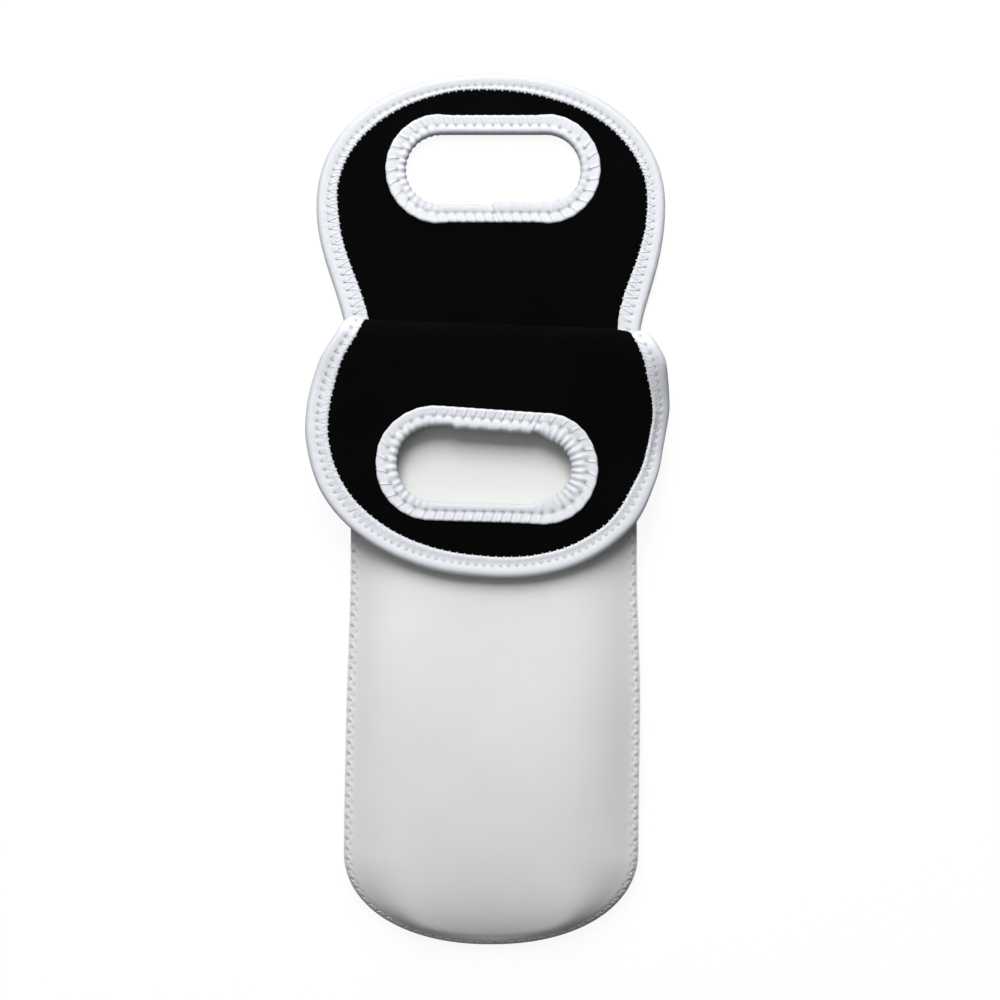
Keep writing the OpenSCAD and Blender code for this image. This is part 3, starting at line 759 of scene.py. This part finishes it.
def grip_shaper(lap_middle, lap_half, notch, swells, total):
    """Working of a grip tape. Its ends lap round a length along it, with a notch at one of them,
    and it swells into the hole and over the lining by its own amounts at the right and the left."""
    straight, r = GRIP_L - GRIP_H, GRIP_H / 2 + TAPE_T
    arc = math.pi * r
    turns = [(straight / 2, straight / 2 + arc), (1.5 * straight + arc, 1.5 * straight + 2 * arc)]
    rib_pitch, rope_pitch = (total / round(total / p) for p in (RIB_PITCH, GRIP_PITCH))

    def shape(along, inset, height):
        run = along % total
        tight = [ease((run - a) / 9 + 0.6) * ease((b - run) / 9 + 0.6) for a, b in turns]
        into = sum(t * swell[0] for t, swell in zip(tight, swells))
        over = 0.5 + sum(t * swell[1] for t, swell in zip(tight, swells))
        ribbed = sum(t * swell[2] for t, swell in zip(tight, swells))
        outside = abs(height) > OUTSIDE_H
        i = round(along / rib_pitch) % round(total / rib_pitch)
        rib = 0.5 + 0.5 * math.cos(2 * math.pi * along / rib_pitch)
        valley = ribbed * (1 - rib) * (0.7 + 0.5 * jog(i, 2))
        start = inset
        if outside and start < 5.2:
            height *= 1 - 0.2 * valley * clamp(1.5 - start / 3.6)
        if start < 3.4:
            inset += 0.45 * valley * clamp(1 - start / 2.6)
        if start < GRIP_NEEDLE:
            inset -= into * (1 - start / GRIP_NEEDLE)
        turn = (along - (start - GRIP_NEEDLE) * BEAD_SLANT) / rope_pitch
        bead = abs(math.sin(math.pi * turn)) ** 0.7
        if start > GRIP_NEEDLE:
            inset += over * (start - GRIP_NEEDLE) / (GRIP_TAPE_W - GRIP_NEEDLE)
            if outside:
                depth = (0.5 if height < 0 else 0.3) * (1 - 0.45 * max(tight))
                height += math.copysign(depth * (bead - 0.72), height)
        if start > GRIP_TAPE_W - GRIP_LIP_W:
            inset -= (0.35 - 0.4 * bead) * (start - GRIP_TAPE_W + GRIP_LIP_W) / GRIP_LIP_W
        away = abs((along - lap_middle + total / 2) % total - total / 2)
        lapped = ease((lap_half - away) / 0.9)
        crease = (along - notch - (start - 2) * 0.5 + total / 2) % total - total / 2
        if outside:
            height -= math.copysign(0.6 * hump(crease / 0.6), height)
        if start < GRIP_NEEDLE:
            bumps = 0.25 * math.sin(along * 0.9) + 0.15 * math.sin(along * 2.3 + 1)
            inset -= (0.9 + bumps) * lapped * clamp(1.3 - start / 3)
            height += math.copysign(0.12 * lapped * outside, height)
        return inset, height

    return shape


# the lap's middle, half its length and its notch, then for the right and the left end of the hole
# how far the tape swells into it and over the lining, and how strongly it is ribbed
GRIP_STEP = 0.5
GRIPS = {
    "front": (1.3, 17.7, 19.0, ((3.2, 0.1, 1.0), (0.8, 0.0, 1.0))),
    "back": (16.4, 17.0, -0.6, ((0.0, 0.6, 0.35), (0.3, 0.6, 1.0))),
}
for side_name, side in SIDES.items():
    stations = grip_loop(side, GRIP_STEP)
    side["grip_stations"] = stations
    side["grip_shape"] = grip_shaper(*GRIPS[side_name], stations[-1][4])
    tape = lay_tape(stations, grip_section, side["place"], side["grip_shape"], True,
                    f"{side_name}_grip_tape")
    attach(tape, side, "grip", f"{side_name}_grip_binding")

# %% [markdown]
# ## Thread
# Each stitch is its own short piece of thread: it comes up through one needle hole, lies over the
# cloth and goes down the next. A bevelled curve is the simplest way to a round thread, and it is
# made a mesh at the end like everything else.

# %% Stitches from pairs of holes
THREAD_R, LIFT, SINK, STITCH_POINTS = 0.17, 0.06, 0.3, 7


def stitches(paths, radius, name):
    """A mesh of round threads along lists of points in the room."""
    curve = bpy.data.curves.new(name, "CURVE")
    curve.dimensions = "3D"
    curve.bevel_depth, curve.bevel_resolution, curve.use_fill_caps = radius, 1, True
    for points in paths:
        spline = curve.splines.new("POLY")
        spline.points.add(len(points) - 1)
        for target, point in zip(spline.points, points):
            target.co = (*point, 1)
    shape = bpy.data.objects.new(name + "_curve", curve)
    mesh = bpy.data.meshes.new_from_object(shape)
    bpy.data.objects.remove(shape)
    bpy.data.curves.remove(curve)
    mesh.name = name
    mesh.shade_smooth()
    return linked(name, mesh)


def at_length(stations, along, closed):
    """The station at a length along an edge."""
    first, step = stations[0][4], stations[1][4] - stations[0][4]
    if closed:
        along = along % stations[-1][4]
    i = min(max((along - first) / step, 0), len(stations) - 1.001)
    share = i - int(i)
    return stations[int(i)] * (1 - share) + stations[int(i) + 1] * share


def over_cloth(stations, place, start, end, surface, closed=False, edge_out=TAPE_T):
    """One stitch from (along, inset) to (along, inset), lying on a worked surface."""
    points = []
    for t in np.linspace(0, 1, STITCH_POINTS):
        along, inset = (a * (1 - t) + b * t for a, b in zip(start, end))
        x, v, out_x, out_v, _ = at_length(stations, along, closed)
        bow = math.sin(math.pi * t) ** 0.5
        inset, height = surface(along, inset)
        w = height + math.copysign(LIFT * bow - SINK * (1 - bow), height)
        out = edge_out - inset
        points.append(tuple(place(x + out_x * out, v + out_v * out, w)))
    return points


def tape_surface(section, shape, width, up):
    """Worked inset and height of a place on the tape, or on the panel beyond its lip."""
    pairs = sorted((i, h) for i, h in section if (h > 1.6 if up else h < -1.6))
    insets, heights = [p[0] for p in pairs], [p[1] for p in pairs]

    def surface(along, inset):
        on_tape = min(inset, width)
        worked, height = shape(along, on_tape, float(np.interp(on_tape, insets, heights)))
        if inset > width:
            return worked + inset - width, SHEET_T / 2 * (1 if up else -1)
        return worked, height

    return surface


# %% Zigzag round the heads
SPIKE_INSET = EDGE_TAPE_W + 0.6


def zigzag(stations, place, surface, pitch, holes, span, edge_out=TAPE_T):
    """Stitches that run to and fro between two insets, from one length to another."""
    (inner, outer), (start, end), paths = holes, span, []
    for i in range(int((end - start) / pitch + 1e-6)):
        a = start + i * pitch
        turn = a + pitch / 2
        for begin, finish in (((a, inner), (turn, outer)), ((turn, outer), (a + pitch, inner))):
            paths.append(over_cloth(stations, place, begin, finish, surface, False, edge_out))
    return paths


for side_name, side in SIDES.items():
    head, head_paths, slit_paths = side["head_stations"], [], []
    holes = (NEEDLE_INSET, SPIKE_INSET)
    for up in (True, False):
        surface = tape_surface(edge_section, side["head_shape"], EDGE_TAPE_W, up)
        low_surface = tape_surface(edge_section, side["low_shape"], EDGE_TAPE_W, up)
        span = (EDGE_PITCH, head[-1][4] - 0.5)
        head_paths += zigzag(head, side["place"], surface, EDGE_PITCH, holes, span)
        for part in side["slit_stations"]:
            span = (math.ceil(part[0][4] / EDGE_PITCH) * EDGE_PITCH, part[-1][4])
            slit_paths += zigzag(part, side["place"], low_surface, EDGE_PITCH, holes, span)
    thread = stitches(head_paths, THREAD_R * MM, f"{side_name}_edge_thread")
    attach(thread, side, "head", f"{side_name}_handle_thread")
    thread = stitches(slit_paths, THREAD_R * MM, f"{side_name}_slit_thread")
    attach(thread, side, "pouch")

# %% Overlock round the grips
# Each turn of thread lies in the groove between two beads of the tape.
for side_name, side in SIDES.items():
    stations, paths = side["grip_stations"], []
    total = stations[-1][4]
    count = round(total / GRIP_PITCH)
    lean = (GRIP_TAPE_W - GRIP_NEEDLE) * BEAD_SLANT
    for up in (True, False):
        surface = tape_surface(grip_section, side["grip_shape"], GRIP_TAPE_W, up)
        for a in (i * total / count for i in range(count)):
            paths.append(over_cloth(stations, side["place"], (a, GRIP_NEEDLE),
                                    (a + lean, GRIP_TAPE_W + 0.3), surface, True))
    thread = stitches(paths, THREAD_R * MM, f"{side_name}_grip_thread")
    attach(thread, side, "grip", f"{side_name}_grip_thread")

# %% Side seam
SEAM_R, seam_paths = 0.14, []
for side_name, side in SIDES.items():
    seam = walk(side["low_edge"], FINE)

    def seam_surface(along, inset):
        return inset, SHEET_T / 2 - seam_pinch(along, inset, CAP_V, False)

    seam_end = seam[-1][4] - SEAM_START
    holes = (SEAM_INSET + SEAM_ZIGZAG_W / 2, SEAM_INSET - SEAM_ZIGZAG_W / 2)
    seam_paths += zigzag(seam, side["place"], seam_surface, SEAM_PITCH, holes,
                         (SEAM_START, seam_end), edge_out=0.0)
thread = stitches(seam_paths, SEAM_R * MM, "side_seam_stitches")
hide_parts("side_seam_thread")
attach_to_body(thread, "pouch")
enter(thread)

# %% [markdown]
# ## Finishes
# Every finish is cloth or foam seen close: a fine knit, a twill tape, foam cells, twisted thread.
# The patterns live in node groups that read the flat pattern of each piece, so the weave bends with
# the cloth. Each material feeds them with its own numbers.

# %% Node helpers
def new_group(name, inputs, outputs):
    """A shader node group with inputs (name, kind, default) and outputs (name, kind)."""
    tree = bpy.data.node_groups.new(name, "ShaderNodeTree")
    for label, kind, value in inputs:
        socket = tree.interface.new_socket(label, in_out="INPUT", socket_type=kind)
        if value is not None:
            socket.default_value = value
    for label, kind in outputs:
        tree.interface.new_socket(label, in_out="OUTPUT", socket_type=kind)
    return tree, tree.nodes.new("NodeGroupInput"), tree.nodes.new("NodeGroupOutput")


def put(socket, value):
    """Sets a socket to a number or links it to another socket."""
    if isinstance(value, bpy.types.NodeSocket):
        socket.id_data.links.new(value, socket)
    elif value is not None:
        socket.default_value = value


def calc(tree, operation, *values):
    node = tree.nodes.new("ShaderNodeMath")
    node.operation = operation
    for socket, value in zip(node.inputs, values):
        put(socket, value)
    return node.outputs[0]


def split(tree, vector):
    node = tree.nodes.new("ShaderNodeSeparateXYZ")
    put(node.inputs[0], vector)
    return node.outputs


def noise(tree, vector, scale, detail=2.0, rough=0.5):
    node = tree.nodes.new("ShaderNodeTexNoise")
    put(node.inputs["Vector"], vector)
    put(node.inputs["Scale"], scale)
    node.inputs["Detail"].default_value, node.inputs["Roughness"].default_value = detail, rough
    return node.outputs["Fac"]


def remap(tree, value, low, high, to_low, to_high):
    node = tree.nodes.new("ShaderNodeMapRange")
    for socket, item in zip(node.inputs, (value, low, high, to_low, to_high)):
        put(socket, item)
    return node.outputs[0]


def wave(tree, value):
    """0 to 1 and back once per unit."""
    turned = calc(tree, "COSINE", calc(tree, "MULTIPLY", value, 2 * math.pi))
    return calc(tree, "MULTIPLY_ADD", turned, 0.5, 0.5)


# %% Group: a fine knit of chevrons
F, V = "NodeSocketFloat", "NodeSocketVector"
tree, gin, gout = new_group(
    "fine knit", [("Cloth", V, None), ("Wale", F, 0.0005), ("Course", F, 0.0004)],
    [("Height", F)])
knit_group = tree
across, along, _ = split(tree, gin.outputs["Cloth"])
column = calc(tree, "FRACT", calc(tree, "DIVIDE", across, gin.outputs["Wale"]))
leg = calc(tree, "ABSOLUTE", calc(tree, "SUBTRACT", column, 0.5))
row = calc(tree, "DIVIDE", along, gin.outputs["Course"])
chevron = wave(tree, calc(tree, "MULTIPLY_ADD", leg, 1.2, row))
rib = wave(tree, calc(tree, "MULTIPLY_ADD", leg, 2.0, 0.5))
put(gout.inputs["Height"],
    calc(tree, "MULTIPLY", rib, calc(tree, "MULTIPLY_ADD", chevron, 0.5, 0.5)))
print("knit group nodes:", len(tree.nodes))

# %% Group: a twill of slanting ribs
tree, gin, gout = new_group(
    "twill", [("Cloth", V, None), ("Pitch", F, 0.0005), ("Slant", F, 0.6)], [("Height", F)])
twill_group, pitch = tree, gin.outputs["Pitch"]
along, across, _ = split(tree, gin.outputs["Cloth"])
slanted = calc(tree, "MULTIPLY_ADD", across, gin.outputs["Slant"], along)
rib = wave(tree, calc(tree, "DIVIDE", slanted, pitch))
weft = wave(tree, calc(tree, "DIVIDE", across, pitch))
put(gout.inputs["Height"],
    calc(tree, "MULTIPLY", rib, calc(tree, "MULTIPLY_ADD", weft, 0.4, 0.6)))


# %% Two steps that both stitch patterns share
def off_turn(tree, along, start, pitch):
    """Way along the edge from the nearest turn of the stitching, -0.5 to 0.5 of a stitch."""
    turn = calc(tree, "DIVIDE", calc(tree, "SUBTRACT", along, start), pitch)
    return calc(tree, "SUBTRACT", calc(tree, "FRACT", calc(tree, "ADD", turn, 0.5)), 0.5)


def bell(tree, squared):
    """1 on the spot, falling to 0 with the square of the distance from it."""
    return calc(tree, "POWER", 2.718, calc(tree, "MULTIPLY", squared, -1))


# %% Group: needle holes along an edge
tree, gin, gout = new_group(
    "needle holes",
    [("Edge", V, None), ("Pitch", F, 0.0036), ("Start", F, 0.0), ("Inset", F, 0.0053),
     ("Radius", F, 0.0006)], [("Hole", F)])
holes_group, pitch, radius = tree, gin.outputs["Pitch"], gin.outputs["Radius"]
along, inset, _ = split(tree, gin.outputs["Edge"])
off = off_turn(tree, along, gin.outputs["Start"], pitch)
off_radii = calc(tree, "DIVIDE", calc(tree, "MULTIPLY", off, pitch), radius)
in_radii = calc(tree, "DIVIDE", calc(tree, "SUBTRACT", inset, gin.outputs["Inset"]), radius)
far = calc(tree, "ADD", calc(tree, "MULTIPLY", off_radii, off_radii),
           calc(tree, "MULTIPLY", in_radii, in_radii))
put(gout.inputs["Hole"], bell(tree, far))

# %% Group: painted shade along the line of a zigzag, where the thread draws the cloth in
tree, gin, gout = new_group(
    "zigzag line",
    [("Edge", V, None), ("Pitch", F, 0.0036), ("Start", F, 0.0), ("Inner", F, 0.0053),
     ("Outer", F, 0.0092), ("Width", F, 0.0003)], [("Line", F)])
zigzag_group, inner = tree, gin.outputs["Inner"]
along, inset, _ = split(tree, gin.outputs["Edge"])
off = calc(tree, "ABSOLUTE", off_turn(tree, along, gin.outputs["Start"], gin.outputs["Pitch"]))
reach = calc(tree, "SUBTRACT", gin.outputs["Outer"], inner)
line = calc(tree, "MULTIPLY_ADD", calc(tree, "MULTIPLY", off, 2), reach, inner)
far = calc(tree, "DIVIDE", calc(tree, "SUBTRACT", inset, line),
           calc(tree, "MULTIPLY", gin.outputs["Width"], 2.2))
put(gout.inputs["Line"], bell(tree, calc(tree, "MULTIPLY", far, far)))

# %% Group: mottling of a dyed cloth
tree, gin, gout = new_group(
    "mottle", [("Place", V, None), ("Amount", F, 0.05)], [("Shade", F), ("Fuzz", F)])
mottle_group, amount = tree, gin.outputs["Amount"]
slow = noise(tree, gin.outputs["Place"], 35.0, 2.0)
fast = noise(tree, gin.outputs["Place"], 900.0, 3.0, 0.6)
mixed = calc(tree, "MULTIPLY_ADD", slow, 0.6, calc(tree, "MULTIPLY", fast, 0.4))
put(gout.inputs["Shade"], remap(tree, mixed, 0.3, 0.7, calc(tree, "SUBTRACT", 1.0, amount),
                                calc(tree, "ADD", 1.0, amount)))
put(gout.inputs["Fuzz"], fast)


# %% Material builder
def material(name, rough, sheen, sheen_rough=0.5, specular=0.3):
    """A principled material, its shader and its two maps."""
    made = bpy.data.materials.new(name)
    made.use_nodes = True
    tree = made.node_tree
    shader = tree.nodes["Principled BSDF"]
    shader.inputs["Roughness"].default_value = rough
    shader.inputs["Sheen Weight"].default_value = sheen
    shader.inputs["Sheen Roughness"].default_value = sheen_rough
    shader.inputs["Specular IOR Level"].default_value = specular
    maps = []
    for label in ("cloth", "edge"):
        node = tree.nodes.new("ShaderNodeUVMap")
        node.uv_map = label
        maps.append(node.outputs[0])
    place = tree.nodes.new("ShaderNodeTexCoord").outputs["Object"]
    return made, tree, shader, maps[0], maps[1], place


def placed(tree, group, **values):
    """A node group in a material, fed with its own values."""
    node = tree.nodes.new("ShaderNodeGroup")
    node.node_tree = group
    for label, value in values.items():
        put(node.inputs[label], value)
    return node.outputs


def tinted(tree, shader, colour, *shades):
    """Base colour times one or more shades."""
    value = tree.nodes.new("ShaderNodeVectorMath")
    value.operation = "SCALE"
    value.inputs[0].default_value = colour
    shade = shades[0]
    for other in shades[1:]:
        shade = calc(tree, "MULTIPLY", shade, other)
    put(value.inputs["Scale"], shade)
    put(shader.inputs["Base Color"], value.outputs[0])


def bumped(tree, shader, height, depth):
    node = tree.nodes.new("ShaderNodeBump")
    node.inputs["Strength"].default_value, node.inputs["Distance"].default_value = 1.0, depth
    put(node.inputs["Height"], height)
    put(shader.inputs["Normal"], node.outputs[0])


# %% White knit face
white_knit, tree, shader, cloth, edge, place = material("white_knit", 0.85, 0.12)
knit = placed(tree, knit_group, Cloth=cloth, Wale=0.00052, Course=0.0004)["Height"]
mottle = placed(tree, mottle_group, Place=place, Amount=0.03)
outer = placed(tree, holes_group, Edge=edge, Pitch=SEAM_PITCH * MM,
               Start=(SEAM_START + SEAM_PITCH / 2) * MM, Inset=(SEAM_INSET - 0.6) * MM,
               Radius=0.00085)["Hole"]
inner = placed(tree, holes_group, Edge=edge, Pitch=SEAM_PITCH * MM, Start=SEAM_START * MM,
               Inset=(SEAM_INSET + 0.9) * MM, Radius=0.0006)["Hole"]
# painted shade in the needle pits of the side seam, which the bump also dents
pits = calc(tree, "MULTIPLY_ADD", inner, 0.4, calc(tree, "MULTIPLY", outer, 0.8))
shade = calc(tree, "SUBTRACT", 1.0, calc(tree, "MULTIPLY", pits, 0.7))
grain = remap(tree, knit, 0, 1, 0.98, 1.01)
tinted(tree, shader, (0.765, 0.775, 0.755), mottle["Shade"], shade, grain)
surface = calc(tree, "MULTIPLY_ADD", mottle["Fuzz"], 0.3, knit)
bumped(tree, shader, calc(tree, "SUBTRACT", surface, calc(tree, "MULTIPLY", pits, 4.0)), 0.00003)

# %% Black knit lining
black_lining, tree, shader, cloth, _, place = material("black_lining", 0.95, 0.0, 0.6, 0.02)
knit = placed(tree, knit_group, Cloth=cloth, Wale=0.0006, Course=0.00045)["Height"]
mottle = placed(tree, mottle_group, Place=place, Amount=0.25)
tinted(tree, shader, (0.0022, 0.0022, 0.0025), mottle["Shade"], remap(tree, knit, 0, 1, 0.7, 1.15))
bumped(tree, shader, calc(tree, "MULTIPLY_ADD", mottle["Fuzz"], 0.8, knit), 0.00008)

# %% Foam core
foam_core, tree, shader, _, _, place = material("foam_core", 0.9, 0.0, 0.5, 0.15)
cells = tree.nodes.new("ShaderNodeTexVoronoi")
put(cells.inputs["Vector"], place)
cells.inputs["Scale"].default_value = 3200.0
mottle = placed(tree, mottle_group, Place=place, Amount=0.15)
tinted(tree, shader, (0.02, 0.02, 0.021), mottle["Shade"],
       remap(tree, cells.outputs["Distance"], 0, 0.6, 0.6, 1.1))
bumped(tree, shader, cells.outputs["Distance"], 0.00015)

# %% Two binding tapes, one for the edges and one with the finer stitch of the grips
def tape_material(name, pitch, needle, outer, thread_shade_grey, hole_r):
    """White twill tape with needle holes, painted shade in the holes and along the zigzag where the
    thread puckers the tape, and painted shade on the outer rim."""
    made, tree, shader, _, edge, place = material(name, 0.6, 0.15, 0.4, 0.3)
    twill = placed(tree, twill_group, Cloth=edge, Pitch=0.00045, Slant=0.7)["Height"]
    mottle = placed(tree, mottle_group, Place=place, Amount=0.03)
    hole = placed(tree, holes_group, Edge=edge, Pitch=pitch * MM, Start=0.0, Inset=needle * MM,
                  Radius=hole_r * MM)["Hole"]
    line = placed(tree, zigzag_group, Edge=edge, Pitch=pitch * MM, Start=0.0, Inner=needle * MM,
                  Outer=outer * MM, Width=0.00028)["Line"]
    patches = remap(tree, noise(tree, place, 420.0, 2.0), 0.42, 0.62, 0.25, 1.0)
    # painted shade along the zigzag, in patches, where the thread puckers the tape
    worked = calc(tree, "MULTIPLY", calc(tree, "MULTIPLY", line, thread_shade_grey), patches)
    # painted shade in the needle holes, added to the zigzag's painted shade; the same mask also
    # dents the bump
    painted_shade_and_dents = calc(tree, "MULTIPLY_ADD", hole, 0.5, worked)
    # painted shade: the tape gets darker towards its outermost edge, which for the grip tape is the
    # rim of the hole
    rim = remap(tree, split(tree, edge)[1], 0.0, 0.0022, 0.74, 1.0)
    shade = calc(tree, "MULTIPLY", rim, calc(tree, "SUBTRACT", 1.0, painted_shade_and_dents))
    tinted(tree, shader, (0.75, 0.77, 0.81), mottle["Shade"], shade,
           remap(tree, twill, 0, 1, 0.965, 1.0))
    surface = calc(tree, "MULTIPLY_ADD", mottle["Fuzz"], 0.5, twill)
    bumped(tree, shader, calc(tree, "SUBTRACT", surface, calc(tree, "MULTIPLY", painted_shade_and_dents, 6.0)),
           0.00006)
    return made


total = SIDES["front"]["grip_stations"][-1][4]
binding_tape = tape_material("binding_tape", EDGE_PITCH, NEEDLE_INSET, SPIKE_INSET,
                             thread_shade_grey=0.28, hole_r=0.65)
grip_tape = tape_material("grip_tape", total / round(total / GRIP_PITCH), GRIP_NEEDLE, GRIP_TAPE_W,
                          thread_shade_grey=0.0, hole_r=0.8)

# %% Sewing thread
thread_cloth, tree, shader, _, _, place = material("thread", 0.5, 0.25, 0.3, 0.4)
mottle = placed(tree, mottle_group, Place=place, Amount=0.05)
tinted(tree, shader, (0.79, 0.81, 0.845), mottle["Shade"])
bumped(tree, shader, mottle["Fuzz"], 0.00008)

# %% Finish on every piece
FINISHES = {"knit_face": (white_knit, "white_knit"), "foam": (foam_core, "foam_core"),
            "lining": (black_lining, "black_lining"), "edge_tape": (binding_tape, "binding_tape"),
            "tape_end": (binding_tape, "binding_tape"), "grip_tape": (grip_tape, "binding_tape"),
            "thread": (thread_cloth, "thread"), "stitches": (thread_cloth, "thread")}
for name, piece in pieces.items():
    finish, slot = next(f for key, f in FINISHES.items() if key in name)
    piece.data.materials.clear()
    piece.data.materials.append(finish)
print("finished pieces:", len(pieces))

# %% [markdown]
# ## What the soft pieces are
# The knit faces and linings are sheets that were cut flat, and each piece holds its flat area from
# the cutting; the foam cores keep their thickness. The cell below only looks up the face and lining
# pieces of each side.

# %% Look up the faces and linings of each side
for side_name, held in (("front", "folded"), ("back", "laid")):
    for layer in ("knit_face", "lining"):
        low, head = pieces[f"{side_name}_pouch_{layer}"], pieces[f"{side_name}_head_{layer}"]

# %% [markdown]
# ## Studio
# The photograph looks straight down on a white ground, with soft light from above the heads.

# %% Camera
scene = bpy.context.scene
camera = linked("camera", bpy.data.cameras.new("camera"))
CAMERA_UP, FRAME_W = 0.65, 0.448
camera.data.lens = camera.data.sensor_width / FRAME_W * CAMERA_UP
camera.location = (0.004, 0.0036, CAMERA_UP)
scene.camera = camera

# %% Floor
bm = bmesh.new()
bmesh.ops.create_grid(bm, x_segments=1, y_segments=1, size=2.5)
floor_mesh = bpy.data.meshes.new("floor")
bm.to_mesh(floor_mesh)
bm.free()
floor = linked("floor", floor_mesh)
floor.location.z = -0.0004
floor_paint = bpy.data.materials.new("floor_paint")
floor_paint.use_nodes = True
tree = floor_paint.node_tree
tree.nodes.remove(tree.nodes["Principled BSDF"])
rays = tree.nodes.new("ShaderNodeLightPath")
plain = tree.nodes.new("ShaderNodeBsdfDiffuse")
plain.inputs["Color"].default_value = (0.25, 0.25, 0.25, 1)
seen = tree.nodes.new("ShaderNodeBsdfDiffuse")
seen.inputs["Color"].default_value = (0.1, 0.1, 0.1, 1)
glow = tree.nodes.new("ShaderNodeEmission")
glow.inputs["Color"].default_value, glow.inputs["Strength"].default_value = (1, 1, 1, 1), 0.92
lit = tree.nodes.new("ShaderNodeAddShader")
put(lit.inputs[0], seen.outputs[0])
put(lit.inputs[1], glow.outputs[0])
pick = tree.nodes.new("ShaderNodeMixShader")
put(pick.inputs[0], rays.outputs["Is Camera Ray"])
put(pick.inputs[1], plain.outputs[0])
put(pick.inputs[2], lit.outputs[0])
put(tree.nodes["Material Output"].inputs["Surface"], pick.outputs[0])
floor_mesh.materials.append(floor_paint)
floor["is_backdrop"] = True

# %% World
world = bpy.data.worlds.new("studio")
scene.world = world
world.use_nodes = True
tree = world.node_tree
back = tree.nodes["Background"]
back.inputs["Color"].default_value = (0.95, 0.97, 1.0, 1)
rays = tree.nodes.new("ShaderNodeLightPath")
glossy, through = rays.outputs["Is Glossy Ray"], rays.outputs["Is Transmission Ray"]
direct = calc(tree, "MAXIMUM", rays.outputs["Is Camera Ray"],
              calc(tree, "MAXIMUM", glossy, through))
put(back.inputs["Strength"], remap(tree, direct, 0, 1, 0.06, 1.0))

# %% Lamps
# Each lamp is a softbox that faces the middle of the carrier: its place, size and power.
LAMPS = {
    "key": ((-0.15, 1.08, 1.18), (0.8, 1.0), 30),
    "low": ((0.0, 1.6, 0.6), (0.8, 0.5), 6.5),
    "top": ((-0.3, 0.1, 1.5), (0.9, 0.9), 2.2),
    "fill": ((-0.9, -0.7, 0.8), (0.8, 0.8), 0.6),
}
for name, (place, size, power) in LAMPS.items():
    lamp = bpy.data.lights.new(name, "AREA")
    lamp.shape, lamp.energy = "RECTANGLE", power
    lamp.size, lamp.size_y = size
    box = linked(name, lamp)
    box.location = place
    box.rotation_mode = "QUATERNION"
    box.rotation_quaternion = (-Vector(place)).to_track_quat("-Z", "Y")
scene.view_settings.view_transform = "Standard"

# %% [markdown]
# ## Size
# The size of the dressed model is printed.

# %% Print the size
low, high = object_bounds()
print("visual size in mm:", [round(1000 * (b - a), 1) for a, b in zip(low, high)])
